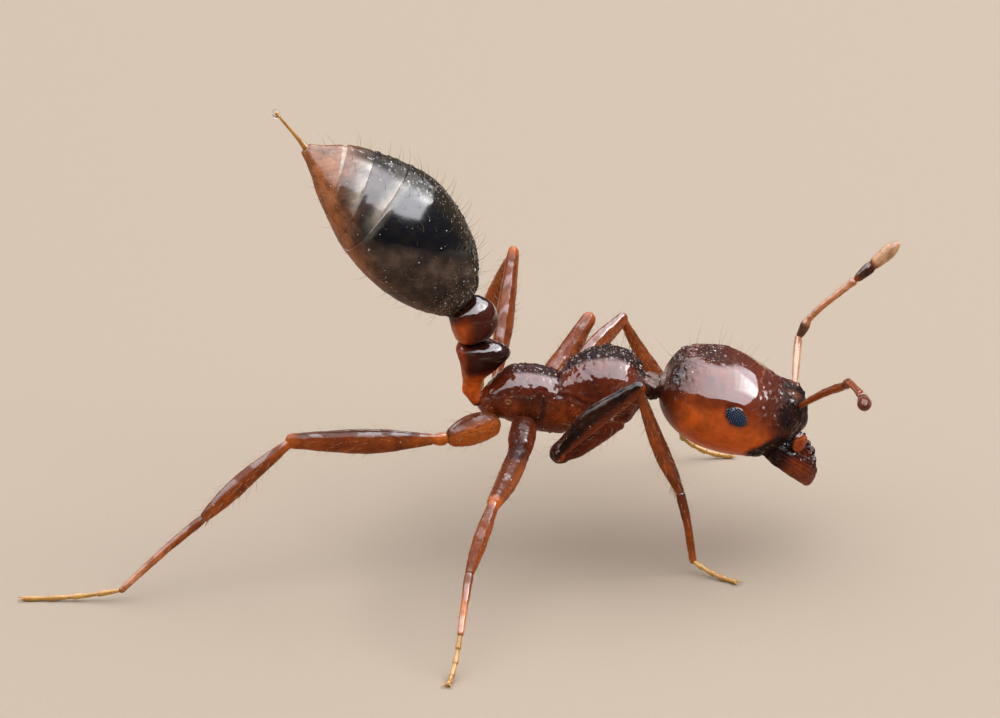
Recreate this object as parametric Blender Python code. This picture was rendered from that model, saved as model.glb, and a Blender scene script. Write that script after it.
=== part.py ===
"""A red fire ant worker, life size, standing with its gaster raised and its sting out.

The ant faces +X, its left side is +Y, and its feet stand on z = 0. Sizes are in millimetres
until a mesh is made. Every plate of the body and every segment of a limb is its own object.
A piece that joins on to another starts inside it, and is then cut back to leave a thin joint.
"""

from bisect import bisect_right
from math import cos, pi, radians, sin, sqrt

import bpy
from mathutils import Matrix, Vector

MM = 0.001
JOINT_GAP = 0.004
FLOOR = 0.0

# Head, from the back of the skull to the edge of the clypeus.
HEAD_LENGTH = 1.075
HEAD_AT = (1.435, 0.0, 1.243)
HEAD_PITCH = 20.0
HEAD_BACK = -0.03
HEAD_LEAN, LEAN_START, LEAN_REACH, FACE_MIDDLE = 0.45, 0.70, 0.42, 0.03
EYE_AT = (0.53, 0.484, 0.12)
EYE_SIZE = (0.095, 0.040, 0.071)
EYE_TILT = 23.0
MANDIBLE_PATH = [(0.90, 0.235, -0.125), (1.08, 0.235, -0.17), (1.23, 0.145, -0.25), (1.285, 0.052, -0.335)]
MANDIBLE_UP = (0.25, 0, 1)

# Bumps on the head: (where, how far they reach, which way they push).
NAPE_DENT = ((-0.03, 0, 0.12), 0.30, (0.035, 0, 0))
CLYPEUS_BULGE = ((1.10, 0, 0.10), 0.22, (0.05, 0, -0.02))
LOBE_AT, LOBE_REACH, LOBE_PUSH = (0.93, 0.125, 0.28), 0.15, (0.014, 0, 0.035)
NECK_DENT = ((0.72, 0, -0.10), 0.25, (-0.05, 0, 0.03))

# Antennae: a long scape, a beaded funiculus and a club of two segments.
SOCKET_AT = (0.965, 0.13, 0.20)
SCAPE_LENGTH, SCAPE_RADIUS, SCAPE_BOW = 0.75, 0.031, 0.018
FUNICULUS_LENGTH, FUNICULUS_RADIUS, FUNICULUS_BOW = 0.62, 0.027, 0.045
CLUB_LENGTH, CLUB_RADIUS, CLUB_OVERLAP = 0.44, 0.050, 0.012
ANTENNA_POSES = {
    "left": {"scape": (86, 17), "funiculus": (1, 47.5), "club": (1, 42)},
    "right": {"scape": (56, 31), "funiculus": (79, 12), "club": (90, 12)},
}

# Body plates along the middle plane, each placed by its front or rear joint.
THORAX_REAR = (0.60, 0.0, 1.12)
THORAX_LENGTH = 0.75
NECK_AT = (1.30, 0.0, 1.235)
NECK_LENGTH, NECK_SIZE = 0.20, (0.105, 0.105, 0.115)
PROPODEUM_REAR = (0.085, 0.0, 1.10)
PROPODEUM_LENGTH = 0.66
PETIOLE_PATH = [(0.12, 1.10), (0.055, 1.20), (0.042, 1.40), (0.028, 1.60)]
POSTPETIOLE_PATH = [(0.032, 1.57), (0.018, 1.76), (-0.045, 1.90)]
GASTER_AT = (-0.033, 0.0, 1.88)
GASTER_RISE = 46.6
GASTER_LENGTH = 1.63
STING_AT = (GASTER_LENGTH - 0.05, 0, 0.006)
STING_LENGTH, STING_RADIUS, STING_RISE = 0.40, 0.026, 51.0
DROP_RADIUS, DROP_REACH = 0.030, 0.0375

# A plate's rear edge lies at (distance from the gaster's front, lean with dorsal height).
GASTER_EDGES = [(0.95, 0.13), (1.11, 0.42), (1.30, 0.55)]
GASTER_ROWS = (9, 2, 2, 4)

# Each pair of legs: the lengths of its five segments, their greatest radii, how far the middle of
# each bows up, and how far outside the coxa's end the femur starts.
LEG_SIZES = {
    "front": {
        "lengths": (0.57, 0.87, 0.84, 0.55, 0.41),
        "radii": (0.115, 0.084, 0.060, 0.036, 0.024),
        "bows": (0.02, 0.05, -0.02, 0.01),
        "outset": 0.055,
    },
    "mid": {
        "lengths": (0.34, 0.88, 0.69, 0.56, 0.48),
        "radii": (0.105, 0.084, 0.058, 0.033, 0.024),
        "bows": (0.01, -0.03, 0.012, 0.01),
        "outset": 0.0,
    },
    "hind": {
        "lengths": (0.39, 1.20, 0.84, 0.80, 0.73),
        "radii": (0.112, 0.092, 0.068, 0.034, 0.024),
        "bows": (0.015, -0.012, 0.015, 0.01),
        "outset": 0.0,
    },
}
LEG_ROOTS = {"front": (1.16, 0.19, 1.09), "mid": (0.44, 0.17, 1.01), "hind": (0.26, 0.16, 1.01)}

# Each leg's pose: (turn from straight ahead to the side, rise) of the coxa, femur, tibia and
# basitarsus in degrees, and the way the foot points.
LEG_POSES = {
    "right_front": [(160, -27), (13, 44), (4, -69), (2, -80), 37],
    "right_mid": [(96, -14), (102, -4), (107, -28), (97.5, -29.5), 103],
    "right_hind": [(153, -8), (163, 5.5), (158, -36), (161, -37.5), 180],
    "left_front": [(142, -15), (54, 25), (25, -58), (80, -50), 3],
    "left_mid": [(84, -14), (56, 28), (109, -50), (88, -60), 82],
    "left_hind": [(97, -12), (80, 45), (130, -63), (90, -58), 80],
}

# A foot curls down to the floor, where the flat under it lies a little above its centre line's drop.
FOOT_CURL, FOOT_SINK, FOOT_LEAST_RUN = 2.2, 0.8, 0.3

# Outlines: (share of the length, half height up, half height down, half width, centre height).
HEAD_OUTLINE = [
    (0.00, 0.330, 0.365, 0.490, 0.070),
    (0.25, 0.325, 0.358, 0.470, 0.067),
    (0.41, 0.347, 0.365, 0.498, 0.060),
    (0.56, 0.339, 0.350, 0.492, 0.052),
    (0.70, 0.306, 0.310, 0.460, 0.042),
    (0.82, 0.268, 0.270, 0.410, 0.030),
    (0.90, 0.235, 0.215, 0.330, 0.030),
    (1.00, 0.130, 0.120, 0.215, 0.030),
]
MANDIBLE_OUTLINE = [
    (0.00, 0.100, 0.060, 0.045, 0.00),
    (0.35, 0.125, 0.080, 0.050, 0.00),
    (0.70, 0.115, 0.080, 0.040, 0.01),
    (1.00, 0.050, 0.030, 0.027, 0.00),
]
THORAX_OUTLINE = [
    (0.00, 0.215, 0.235, 0.205, 0.000),
    (0.12, 0.275, 0.250, 0.225, 0.020),
    (0.30, 0.300, 0.285, 0.250, 0.060),
    (0.54, 0.310, 0.300, 0.290, 0.100),
    (0.75, 0.265, 0.270, 0.310, 0.120),
    (0.92, 0.190, 0.205, 0.250, 0.115),
    (1.00, 0.140, 0.160, 0.190, 0.110),
]
PROPODEUM_OUTLINE = [
    (0.00, 0.130, 0.090, 0.110, 0.000),
    (0.18, 0.170, 0.120, 0.150, 0.025),
    (0.34, 0.225, 0.160, 0.185, 0.050),
    (0.52, 0.235, 0.215, 0.205, 0.060),
    (0.75, 0.240, 0.245, 0.212, 0.040),
    (1.00, 0.190, 0.210, 0.190, 0.020),
]
PETIOLE_OUTLINE = [
    (0.00, 0.055, 0.050, 0.070, 0.0),
    (0.22, 0.062, 0.055, 0.075, 0.0),
    (0.42, 0.105, 0.060, 0.095, 0.0),
    (0.60, 0.220, 0.070, 0.150, 0.0),
    (0.75, 0.297, 0.085, 0.175, 0.0),
    (0.89, 0.245, 0.095, 0.160, 0.0),
    (1.00, 0.150, 0.080, 0.120, 0.0),
]
POSTPETIOLE_OUTLINE = [
    (0.00, 0.110, 0.080, 0.120, 0.0),
    (0.28, 0.200, 0.115, 0.185, 0.0),
    (0.55, 0.225, 0.130, 0.205, 0.0),
    (0.80, 0.170, 0.120, 0.180, 0.0),
    (1.00, 0.110, 0.090, 0.115, 0.0),
]
GASTER_OUTLINE = [
    (0.000, 0.175, 0.130, 0.165, 0.0),
    (0.085, 0.315, 0.215, 0.285, 0.0),
    (0.165, 0.400, 0.270, 0.365, 0.0),
    (0.265, 0.462, 0.313, 0.430, 0.0),
    (0.370, 0.500, 0.330, 0.460, 0.0),
    (0.480, 0.513, 0.327, 0.456, 0.0),
    (0.590, 0.472, 0.300, 0.412, 0.0),
    (0.705, 0.397, 0.240, 0.332, 0.0),
    (0.815, 0.312, 0.172, 0.238, 0.0),
    (0.895, 0.216, 0.108, 0.152, 0.0),
    (0.960, 0.105, 0.062, 0.082, 0.0),
    (1.000, 0.055, 0.040, 0.048, 0.0),
]

# Limb outlines: (share of the length, share of the segment's radius).
COXA_OUTLINE = [(0.0, 0.90), (0.30, 1.0), (0.60, 0.98), (0.85, 0.72), (1.0, 0.50)]
FEMUR_OUTLINE = [
    (0.0, 0.42), (0.05, 0.56), (0.10, 0.46), (0.22, 0.66),
    (0.40, 0.96), (0.56, 1.0), (0.80, 0.82), (1.0, 0.66),
]
TIBIA_OUTLINE = [(0.0, 0.50), (0.08, 0.57), (0.30, 0.80), (0.60, 1.0), (0.86, 0.86), (1.0, 0.56)]
BASITARSUS_OUTLINE = [(0.0, 0.78), (0.08, 1.0), (0.50, 0.85), (0.92, 0.74), (1.0, 0.66)]
SCAPE_OUTLINE = [(0.0, 0.80), (0.05, 0.86), (0.10, 0.52), (0.25, 0.74), (0.80, 1.0), (1.0, 0.86)]
FUNICULUS_OUTLINE = [
    (0.0, 0.75), (0.05, 1.05), (0.13, 1.30), (0.20, 1.32), (0.26, 0.86),
    (0.31, 0.93), (0.60, 0.96), (1.0, 1.15),
]
CLUB_OUTLINE = [
    (0.0, 0.55), (0.12, 0.68), (0.32, 0.86), (0.40, 0.72),
    (0.47, 0.88), (0.74, 1.04), (1.0, 0.80),
]
STING_OUTLINE = [(0.0, 1.0), (0.18, 0.72), (0.38, 0.42), (1.0, 0.22)]

# How flat from side to side each segment of a leg is.
FLATNESS = (0.95, 0.74, 0.88, 1.0)

# Joints of a beaded limb: how far each bead narrows where it meets the next.
BEAD_WAIST = 0.30
FOOT_BEADS = 4

MATERIALS = {
    "red_shell": ((0.150, 0.028, 0.010), 0.22),
    "amber_shell": ((0.330, 0.080, 0.018), 0.28),
    "golden_shell": ((0.480, 0.210, 0.050), 0.35),
    "black_shell": ((0.012, 0.008, 0.008), 0.15),
    "eye_facets": ((0.008, 0.010, 0.018), 0.30),
    "venom": ((0.800, 0.820, 0.800), 0.03),
}


def clear_scene():
    for thing in list(bpy.data.objects):
        bpy.data.objects.remove(thing, do_unlink=True)


def shell_material(name):
    colour, roughness = MATERIALS[name]
    material = bpy.data.materials.new(name)
    material.use_nodes = True
    shader = material.node_tree.nodes["Principled BSDF"]
    shader.inputs["Base Color"].default_value = (*colour, 1.0)
    shader.inputs["Roughness"].default_value = roughness
    shader.inputs["Metallic"].default_value = 0.0
    return material


def smooth(knots, t):
    """The knots' values at t, on a smooth curve through every knot."""
    stops = [knot[0] for knot in knots]
    i = min(max(bisect_right(stops, t) - 1, 0), len(knots) - 2)
    here, there = knots[i], knots[i + 1]
    before, after = knots[max(i - 1, 0)], knots[min(i + 2, len(knots) - 1)]
    span = there[0] - here[0]
    f = (t - here[0]) / span
    values = []
    for k in range(1, len(here)):
        leaving = span * (there[k] - before[k]) / (there[0] - before[0])
        arriving = span * (after[k] - here[k]) / (after[0] - here[0])
        blend = (2 * f**3 - 3 * f**2 + 1) * here[k] + (3 * f**2 - 2 * f**3) * there[k]
        values.append(blend + (f**3 - 2 * f**2 + f) * leaving + (f**3 - f**2) * arriving)
    return values


def rounded(t, start, end):
    """How far a closed shape has opened at t, with round ends of the given shares of its length."""
    near = min(t / start, 1.0)
    far = min((1.0 - t) / end, 1.0)
    return sqrt(1.0 - (1.0 - near) ** 2) * sqrt(1.0 - (1.0 - far) ** 2)


def beaded(t, beads):
    """A limb's width where it is a row of beads, each widest near its far end."""
    share = (t * beads) % 1.0
    return 1.0 - BEAD_WAIST * (1.0 - sin(pi * min(share, 0.999) ** 1.5))


def signed_power(value, power):
    return abs(value) ** power * (1.0 if value >= 0 else -1.0)


def ring(centre, forward, up_axis, size, sides, squareness):
    """Points round a cross-section; size is (half height up, half height down, half width)."""
    side_axis = up_axis.cross(forward).normalized()
    points = []
    for k in range(sides):
        angle = 2 * pi * (k + 0.5) / sides
        across = signed_power(cos(angle), 2 / squareness) * size[2]
        rise = signed_power(sin(angle), 2 / squareness)
        rise *= size[0] if rise > 0 else size[1]
        points.append(centre + side_axis * across + up_axis * rise)
    return points


def close_rings(rings, first, last):
    """Points and faces of a closed surface through the rings, from pole to pole."""
    sides = len(rings[0])
    points = [first] + [point for row in rings for point in row] + [last]
    faces = [(0, 1 + (k + 1) % sides, 1 + k) for k in range(sides)]
    for i in range(len(rings) - 1):
        low = 1 + i * sides
        for k in range(sides):
            after = (k + 1) % sides
            faces.append((low + k, low + after, low + sides + after, low + sides + k))
    low = 1 + (len(rings) - 1) * sides
    faces += [(low + k, low + (k + 1) % sides, len(points) - 1) for k in range(sides)]
    return points, faces


def sweep(path, outline, stations, sides, ends, up=(0, 0, 1), squareness=2.0):
    """A closed skin round a smooth path; outline(t) gives up, down, width and centre height."""
    path = [Vector(point) for point in path]
    lengths = [0.0]
    for before, after in zip(path, path[1:]):
        lengths.append(lengths[-1] + (after - before).length)
    knots = [(length / lengths[-1], *point) for length, point in zip(lengths, path)]

    def along(t):
        return Vector(smooth(knots, min(max(t, 0.0), 1.0)))

    rings = []
    for i in range(1, stations):
        t = (1 - cos(pi * i / stations)) / 2
        forward = (along(t + 0.01) - along(t - 0.01)).normalized()
        up_axis = (Vector(up) - forward * Vector(up).dot(forward)).normalized()
        high, low, wide, middle = outline(t)
        size = [extent * rounded(t, *ends) for extent in (high, low, wide)]
        centre = along(t) + up_axis * middle
        rings.append(ring(centre, forward, up_axis, size, sides, squareness))
    lift = [Vector(up) * outline(t)[3] for t in (0.0, 1.0)]
    return close_rings(rings, along(0.0) + lift[0], along(1.0) + lift[1])


def round_outline(knots, radius, flatness=1.0):
    """A limb's outline from shares of its radius; flatness is its width over its height."""
    def outline(t):
        share = smooth(knots, t)[0] * radius
        return share, share, share * flatness, 0.0
    return outline


def bead_outline(beads, radius):
    def outline(t):
        share = radius * beaded(t, beads)
        return share, share, share, 0.0
    return outline


def bump(points, centre, reach, push):
    """Pushes the points near a centre along a direction, fading smoothly to nothing."""
    centre, push = Vector(centre), Vector(push)
    for i, point in enumerate(points):
        distance = (point - centre).length / reach
        if distance < 1.0:
            points[i] = point + push * (cos(pi * distance) + 1) / 2


class Ant:
    """Holds the ant's objects, their joints' cutters and the frame that they stand in."""

    def __init__(self):
        self.materials = {name: shell_material(name) for name in MATERIALS}
        self.cutters = {}
        self.frames = {}
        self.root = self.frame("ant", (0, 0, 0), Matrix.Identity(3), None)

    def frame(self, name, at, turn, parent):
        empty = bpy.data.objects.new(name + "_frame", None)
        bpy.context.collection.objects.link(empty)
        self.place(empty, at, turn, parent)
        self.frames[name] = empty
        return empty

    def place(self, thing, at, turn, parent):
        thing.parent = parent
        thing.rotation_mode = "QUATERNION"
        thing.location = Vector(at) * MM
        thing.rotation_quaternion = turn.to_quaternion()

    def piece(self, name, skin, material, at=(0, 0, 0), turn=Matrix.Identity(3), parent=None):
        points, faces = skin
        mesh = bpy.data.meshes.new(name)
        mesh.from_pydata([point * MM for point in points], [], faces)
        mesh.shade_smooth()
        mesh.materials.append(self.materials[material])
        thing = bpy.data.objects.new(name, mesh)
        bpy.context.collection.objects.link(thing)
        self.place(thing, at, turn, parent or self.root)
        return thing

    def cutter(self, thing):
        """A hidden copy of a piece, fatter by the joint's gap."""
        if thing.name not in self.cutters:
            copy = bpy.data.objects.new(thing.name + "_cutter", thing.data.copy())
            bpy.context.collection.objects.link(copy)
            for vertex in copy.data.vertices:
                vertex.co += vertex.normal * JOINT_GAP * MM
            copy.parent = thing.parent
            copy.rotation_mode = "QUATERNION"
            copy.location = thing.location
            copy.rotation_quaternion = thing.rotation_quaternion
            copy.hide_render = True
            copy.display_type = "WIRE"
            self.cutters[thing.name] = copy
        return self.cutters[thing.name]

    def seat(self, thing, *neighbours):
        """Cuts a piece back so that it meets its neighbours with the joint's gap."""
        for neighbour in neighbours:
            cut = thing.modifiers.new("joint_with_" + neighbour.name, "BOOLEAN")
            cut.operation = "DIFFERENCE"
            cut.solver = "EXACT"
            cut.object = self.cutter(neighbour)


def heading(side, turn, rise):
    """The way a segment points: turned outward from straight ahead, then raised, in degrees."""
    turn, rise = radians(turn), radians(rise)
    return Vector((cos(rise) * cos(turn), side * cos(rise) * sin(turn), sin(rise)))


def aimed(direction, up=(0, 0, 1)):
    """The turn that lays a piece's own +X along a direction, with its +Z as near up as it can be."""
    forward = direction.normalized()
    side = Vector(up).cross(forward).normalized()
    return Matrix((forward, side, forward.cross(side))).transposed()


def pitched(angle):
    return Matrix.Rotation(radians(angle), 3, "Y")


def from_knots(knots):
    return lambda t: smooth(knots, t)


def make_head(ant):
    frame = ant.frame("head", HEAD_AT, pitched(HEAD_PITCH), ant.root)
    path = [(HEAD_BACK + HEAD_LENGTH * share, 0, 0) for share in (0.0, 0.5, 1.0)]
    points, faces = sweep(path, from_knots(HEAD_OUTLINE), 17, 20, (0.36, 0.10), squareness=2.15)
    for point in points:
        front = min(max((point.x - LEAN_START) / LEAN_REACH, 0.0), 1.0)
        point.x += HEAD_LEAN * (point.z - FACE_MIDDLE) * front**2 * (3 - 2 * front)
    bump(points, *NAPE_DENT)
    bump(points, *CLYPEUS_BULGE)
    for side in (1, -1):
        lobe = (LOBE_AT[0], side * LOBE_AT[1], LOBE_AT[2])
        bump(points, lobe, LOBE_REACH, LOBE_PUSH)
    head = ant.piece("head", (points, faces), "red_shell", parent=frame)
    for side, label in ((1, "left"), (-1, "right")):
        eye = make_eye(ant, label, side, frame)
        ant.seat(head, eye)
        mandible = make_mandible(ant, label, side, frame)
        ant.seat(mandible, head)
        make_antenna(ant, label, side, head, frame)
    return head


def make_eye(ant, label, side, frame):
    along, wide, tall = EYE_SIZE
    path = [(-along, 0, 0), (0, 0, 0), (along, 0, 0)]
    skin = sweep(path, lambda t: (tall, tall, wide, 0.0), 7, 12, (0.5, 0.5))
    at = (EYE_AT[0], side * EYE_AT[1], EYE_AT[2])
    turn = Matrix.Rotation(radians(-side * 8), 3, "Z") @ pitched(EYE_TILT)
    return ant.piece(label + "_eye", skin, "eye_facets", at, turn, frame)


def make_mandible(ant, label, side, frame):
    path = [(x, side * y, z) for x, y, z in MANDIBLE_PATH]
    skin = sweep(path, from_knots(MANDIBLE_OUTLINE), 10, 10, (0.12, 0.08), up=MANDIBLE_UP)
    return ant.piece(label + "_mandible", skin, "red_shell", parent=frame)


def make_antenna(ant, label, side, head, frame):
    ways = {name: heading(side, *angles) for name, angles in ANTENNA_POSES[label].items()}
    socket = Vector((SOCKET_AT[0], side * SOCKET_AT[1], SOCKET_AT[2]))
    at = Vector(HEAD_AT) + pitched(HEAD_PITCH) @ socket
    path = [(0, 0, 0), (SCAPE_LENGTH * 0.5, 0, SCAPE_BOW), (SCAPE_LENGTH, 0, 0)]
    skin = sweep(path, round_outline(SCAPE_OUTLINE, SCAPE_RADIUS), 10, 10, (0.04, 0.05))
    scape = ant.piece(label + "_scape", skin, "amber_shell", at, aimed(ways["scape"]))
    ant.seat(scape, head)
    elbow = at + ways["scape"] * (SCAPE_LENGTH - SCAPE_RADIUS)
    path = [(0, 0, 0), (FUNICULUS_LENGTH * 0.3, 0, FUNICULUS_BOW), (FUNICULUS_LENGTH, 0, 0)]
    skin = sweep(path, round_outline(FUNICULUS_OUTLINE, FUNICULUS_RADIUS), 20, 8, (0.04, 0.04))
    turn = aimed(ways["funiculus"])
    funiculus = ant.piece(label + "_funiculus", skin, "amber_shell", elbow, turn)
    ant.seat(funiculus, scape)
    wrist = elbow + ways["funiculus"] * (FUNICULUS_LENGTH - CLUB_OVERLAP)
    path = [(0, 0, 0), (CLUB_LENGTH, 0, 0)]
    skin = sweep(path, round_outline(CLUB_OUTLINE, CLUB_RADIUS), 12, 8, (0.10, 0.26))
    club = ant.piece(label + "_club", skin, "amber_shell", wrist, aimed(ways["club"]))
    ant.seat(club, funiculus)


def make_thorax(ant, head):
    path = [(0, 0, 0), (THORAX_LENGTH, 0, 0)]
    skin = sweep(path, from_knots(THORAX_OUTLINE), 13, 16, (0.10, 0.22), squareness=2.2)
    bump(skin[0], *NECK_DENT)
    thorax = ant.piece("thorax", skin, "red_shell", THORAX_REAR)
    path = [(0, 0, 0), (NECK_LENGTH, 0, 0)]
    skin = sweep(path, lambda t: (*NECK_SIZE, 0.0), 6, 14, (0.1, 0.1))
    neck = ant.piece("neck", skin, "red_shell", NECK_AT)
    ant.seat(neck, thorax, head)
    path = [(0, 0, 0), (PROPODEUM_LENGTH, 0, 0)]
    skin = sweep(path, from_knots(PROPODEUM_OUTLINE), 11, 16, (0.25, 0.10), squareness=2.2)
    propodeum = ant.piece("propodeum", skin, "red_shell", PROPODEUM_REAR)
    ant.seat(propodeum, thorax)
    return thorax, propodeum


def make_waist(ant, propodeum):
    """The petiole and postpetiole, which climb from the propodeum; their backs face forward."""
    forward = (1, 0, 0)
    path = [(x, 0, z) for x, z in PETIOLE_PATH]
    skin = sweep(path, from_knots(PETIOLE_OUTLINE), 13, 14, (0.06, 0.12), up=forward)
    petiole = ant.piece("petiole", skin, "red_shell")
    ant.seat(petiole, propodeum)
    path = [(x, 0, z) for x, z in POSTPETIOLE_PATH]
    skin = sweep(path, from_knots(POSTPETIOLE_OUTLINE), 9, 14, (0.18, 0.18), up=forward)
    postpetiole = ant.piece("postpetiole", skin, "red_shell")
    ant.seat(postpetiole, petiole)
    return postpetiole


def gaster_ring(edge, sides=16):
    """The gaster's outline where a leaning plane cuts it: edge is (distance, lean)."""
    distance, lean = edge
    points = []
    for k in range(sides):
        angle = 2 * pi * (k + 0.5) / sides
        at = distance
        for _ in range(4):
            high, low, wide, _centre = smooth(GASTER_OUTLINE, min(at / GASTER_LENGTH, 1.0))
            rise = sin(angle) * (high if sin(angle) > 0 else low)
            at = distance + lean * rise
        points.append(Vector((at, cos(angle) * wide, rise)))
    return points


def between(first, last, share):
    return tuple(a + (b - a) * share for a, b in zip(first, last))


def middle_of(points):
    return sum(points, Vector()) / len(points)


def make_gaster(ant, postpetiole):
    rise = radians(GASTER_RISE)
    turn = aimed(Vector((-cos(rise), 0, sin(rise))), up=(sin(rise), 0, cos(rise)))
    frame = ant.frame("gaster", GASTER_AT, turn, ant.root)
    edges = [(0.0, 0.0), *GASTER_EDGES, (GASTER_LENGTH, 0.0)]
    for number, rows in enumerate(GASTER_ROWS, 1):
        start, end = edges[number - 1], edges[number]
        if number > 1:
            start = (start[0] + JOINT_GAP, start[1])
        shares = [i / rows for i in range(rows + 1)]
        if number == 1:
            shares = [1 - cos(pi / 2 * share) for share in shares]
        rings = [gaster_ring(between(start, end, share)) for share in shares]
        skin = close_rings(rings, middle_of(rings[0]), middle_of(rings[-1]))
        plate = ant.piece("gaster_%d" % number, skin, "black_shell", parent=frame)
        if number == 1:
            ant.seat(plate, postpetiole)
    return plate, frame


def make_sting(ant, last_plate, frame):
    tilt = radians(STING_RISE - GASTER_RISE)
    way = Vector((cos(tilt), 0, sin(tilt)))
    base = Vector(STING_AT)
    path = [(0, 0, 0), (STING_LENGTH, 0, 0)]
    skin = sweep(path, round_outline(STING_OUTLINE, STING_RADIUS), 8, 8, (0.02, 0.02))
    sting = ant.piece("sting", skin, "golden_shell", base, aimed(way), frame)
    ant.seat(sting, last_plate)
    tip = base + way * (STING_LENGTH - DROP_RADIUS * 0.4)
    path = [(DROP_REACH * place, 0, 0) for place in (-1, 0, 1)]
    skin = sweep(path, lambda t: (DROP_RADIUS,) * 3 + (0.0,), 8, 10, (0.5, 0.5))
    drop = ant.piece("venom_drop", skin, "venom", tip, aimed(way), frame)
    ant.seat(drop, sting)


def foot_skin(start, way, length, radius):
    """Four short tarsal segments that come down to the floor and lie flat along it."""
    height = start.z - FLOOR
    run = sqrt(max(length**2 - height**2, (FOOT_LEAST_RUN * length) ** 2))
    path = []
    for share in (0.0, 0.25, 0.5, 0.75, 1.0):
        drop = (height - radius * FOOT_SINK) * (1 - (1 - share) ** FOOT_CURL)
        path.append(Vector((way.x * run * share, way.y * run * share, -drop)))
    points, faces = sweep(path, bead_outline(FOOT_BEADS, radius), 12, 6, (0.06, 0.07))
    for point in points:
        point.z = max(point.z, -height)
    return points, faces


def make_leg(ant, name, body):
    side = 1 if name.startswith("left") else -1
    pair = name.split("_")[1]
    lengths, radii, bows, outset = LEG_SIZES[pair].values()
    *turns, foot_turn = LEG_POSES[name]
    outlines = (COXA_OUTLINE, FEMUR_OUTLINE, TIBIA_OUTLINE, BASITARSUS_OUTLINE)
    labels = ("coxa", "femur", "tibia", "basitarsus")
    stations, sides = (6, 11, 8, 6), (9, 9, 8, 6)
    colours = ("red_shell", "amber_shell", "amber_shell", "golden_shell")
    x, y, z = LEG_ROOTS[pair]
    joint = Vector((x, side * y, z))
    inner = body
    for i, label in enumerate(labels):
        way = heading(side, *turns[i])
        end = radii[i] * outlines[i][-1][1]
        path = [(0, 0, 0), (lengths[i] * 0.5, 0, bows[i]), (lengths[i] + end, 0, 0)]
        rounding = (end / (lengths[i] + end),) * 2
        outline = round_outline(outlines[i], radii[i], FLATNESS[i])
        skin = sweep(path, outline, stations[i], sides[i], rounding)
        segment = ant.piece("%s_%s" % (name, label), skin, colours[i], joint, aimed(way))
        ant.seat(segment, *inner)
        inner = (segment,)
        joint = joint + way * lengths[i]
        if i == 0:
            joint += Vector((0, side * outset, 0)) + way * end * 0.5
    way = heading(side, foot_turn, 0)
    skin = foot_skin(joint, way, lengths[4], radii[4])
    foot = ant.piece(name + "_foot", skin, "golden_shell", joint)
    ant.seat(foot, *inner)


def centre_on_floor(ant):
    """Moves the ant so that its middle is over the origin, with the floor at z = 0."""
    bpy.context.view_layer.update()
    corners = []
    for thing in bpy.data.objects:
        if thing.type == "MESH" and not thing.hide_render:
            corners += [thing.matrix_world @ vertex.co for vertex in thing.data.vertices]
    for axis in (0, 1):
        values = [corner[axis] for corner in corners]
        ant.root.location[axis] = -(min(values) + max(values)) / 2


def make_ant():
    clear_scene()
    ant = Ant()
    head = make_head(ant)
    thorax, propodeum = make_thorax(ant, head)
    postpetiole = make_waist(ant, propodeum)
    last_plate, gaster_frame = make_gaster(ant, postpetiole)
    make_sting(ant, last_plate, gaster_frame)
    bodies = {"front": (thorax,), "mid": (thorax, propodeum), "hind": (propodeum,)}
    for name in LEG_POSES:
        make_leg(ant, name, bodies[name.split("_")[1]])
    centre_on_floor(ant)


make_ant()
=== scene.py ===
import math

import bpy
import numpy as np
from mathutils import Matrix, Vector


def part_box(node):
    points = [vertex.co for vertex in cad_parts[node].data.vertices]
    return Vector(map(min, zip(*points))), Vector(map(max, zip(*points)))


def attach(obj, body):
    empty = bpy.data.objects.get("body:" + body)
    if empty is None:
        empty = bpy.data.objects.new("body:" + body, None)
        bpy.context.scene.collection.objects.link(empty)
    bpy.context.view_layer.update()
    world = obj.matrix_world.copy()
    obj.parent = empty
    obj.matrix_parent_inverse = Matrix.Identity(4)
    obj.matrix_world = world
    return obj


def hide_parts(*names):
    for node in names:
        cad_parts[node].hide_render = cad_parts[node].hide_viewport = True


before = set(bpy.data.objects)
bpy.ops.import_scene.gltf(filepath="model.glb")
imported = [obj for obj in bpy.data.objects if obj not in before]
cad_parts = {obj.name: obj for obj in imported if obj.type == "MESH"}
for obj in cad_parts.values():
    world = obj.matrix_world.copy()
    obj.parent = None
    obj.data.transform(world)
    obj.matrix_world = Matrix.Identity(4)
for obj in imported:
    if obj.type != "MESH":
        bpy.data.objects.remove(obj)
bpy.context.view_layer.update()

# A red fire ant worker at life size. Sizes are in millimetres until a mesh is made.
mm = 0.001

thoraxLow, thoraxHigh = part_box("thorax")
thoraxRear = (0.60, 0.0, 1.12)
antShift = np.array([  # from the ant's own middle plane to the model's middle
    thoraxLow.x / mm - thoraxRear[0],
    (thoraxLow.y + thoraxHigh.y) / 2 / mm,
    0.0,
])


def curveThrough(knots, t):
    # smooth values at t, through every knot (stop, value, value...)
    knots, t = np.array(knots, float), np.asarray(t, float)
    stops, values = knots[:, 0], knots[:, 1:]
    here = np.clip(np.searchsorted(stops, t, side="right") - 1, 0, len(stops) - 2)
    there = here + 1
    before, after = np.maximum(here - 1, 0), np.minimum(here + 2, len(stops) - 1)
    span = (stops[there] - stops[here])[:, None]
    f = (t - stops[here])[:, None] / span
    leaving = span * (values[there] - values[before]) / (stops[there] - stops[before])[:, None]
    arriving = span * (values[after] - values[here]) / (stops[after] - stops[here])[:, None]
    blend = (2 * f**3 - 3 * f**2 + 1) * values[here] + (3 * f**2 - 2 * f**3) * values[there]
    return blend + (f**3 - 2 * f**2 + f) * leaving + (f**3 - f**2) * arriving


def ramp(x, low, high):
    # 0 below low, 1 above high, smooth between; works backwards too
    f = np.clip((np.asarray(x, float) - low) / (high - low), 0, 1)
    return f * f * (3 - 2 * f)


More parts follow.
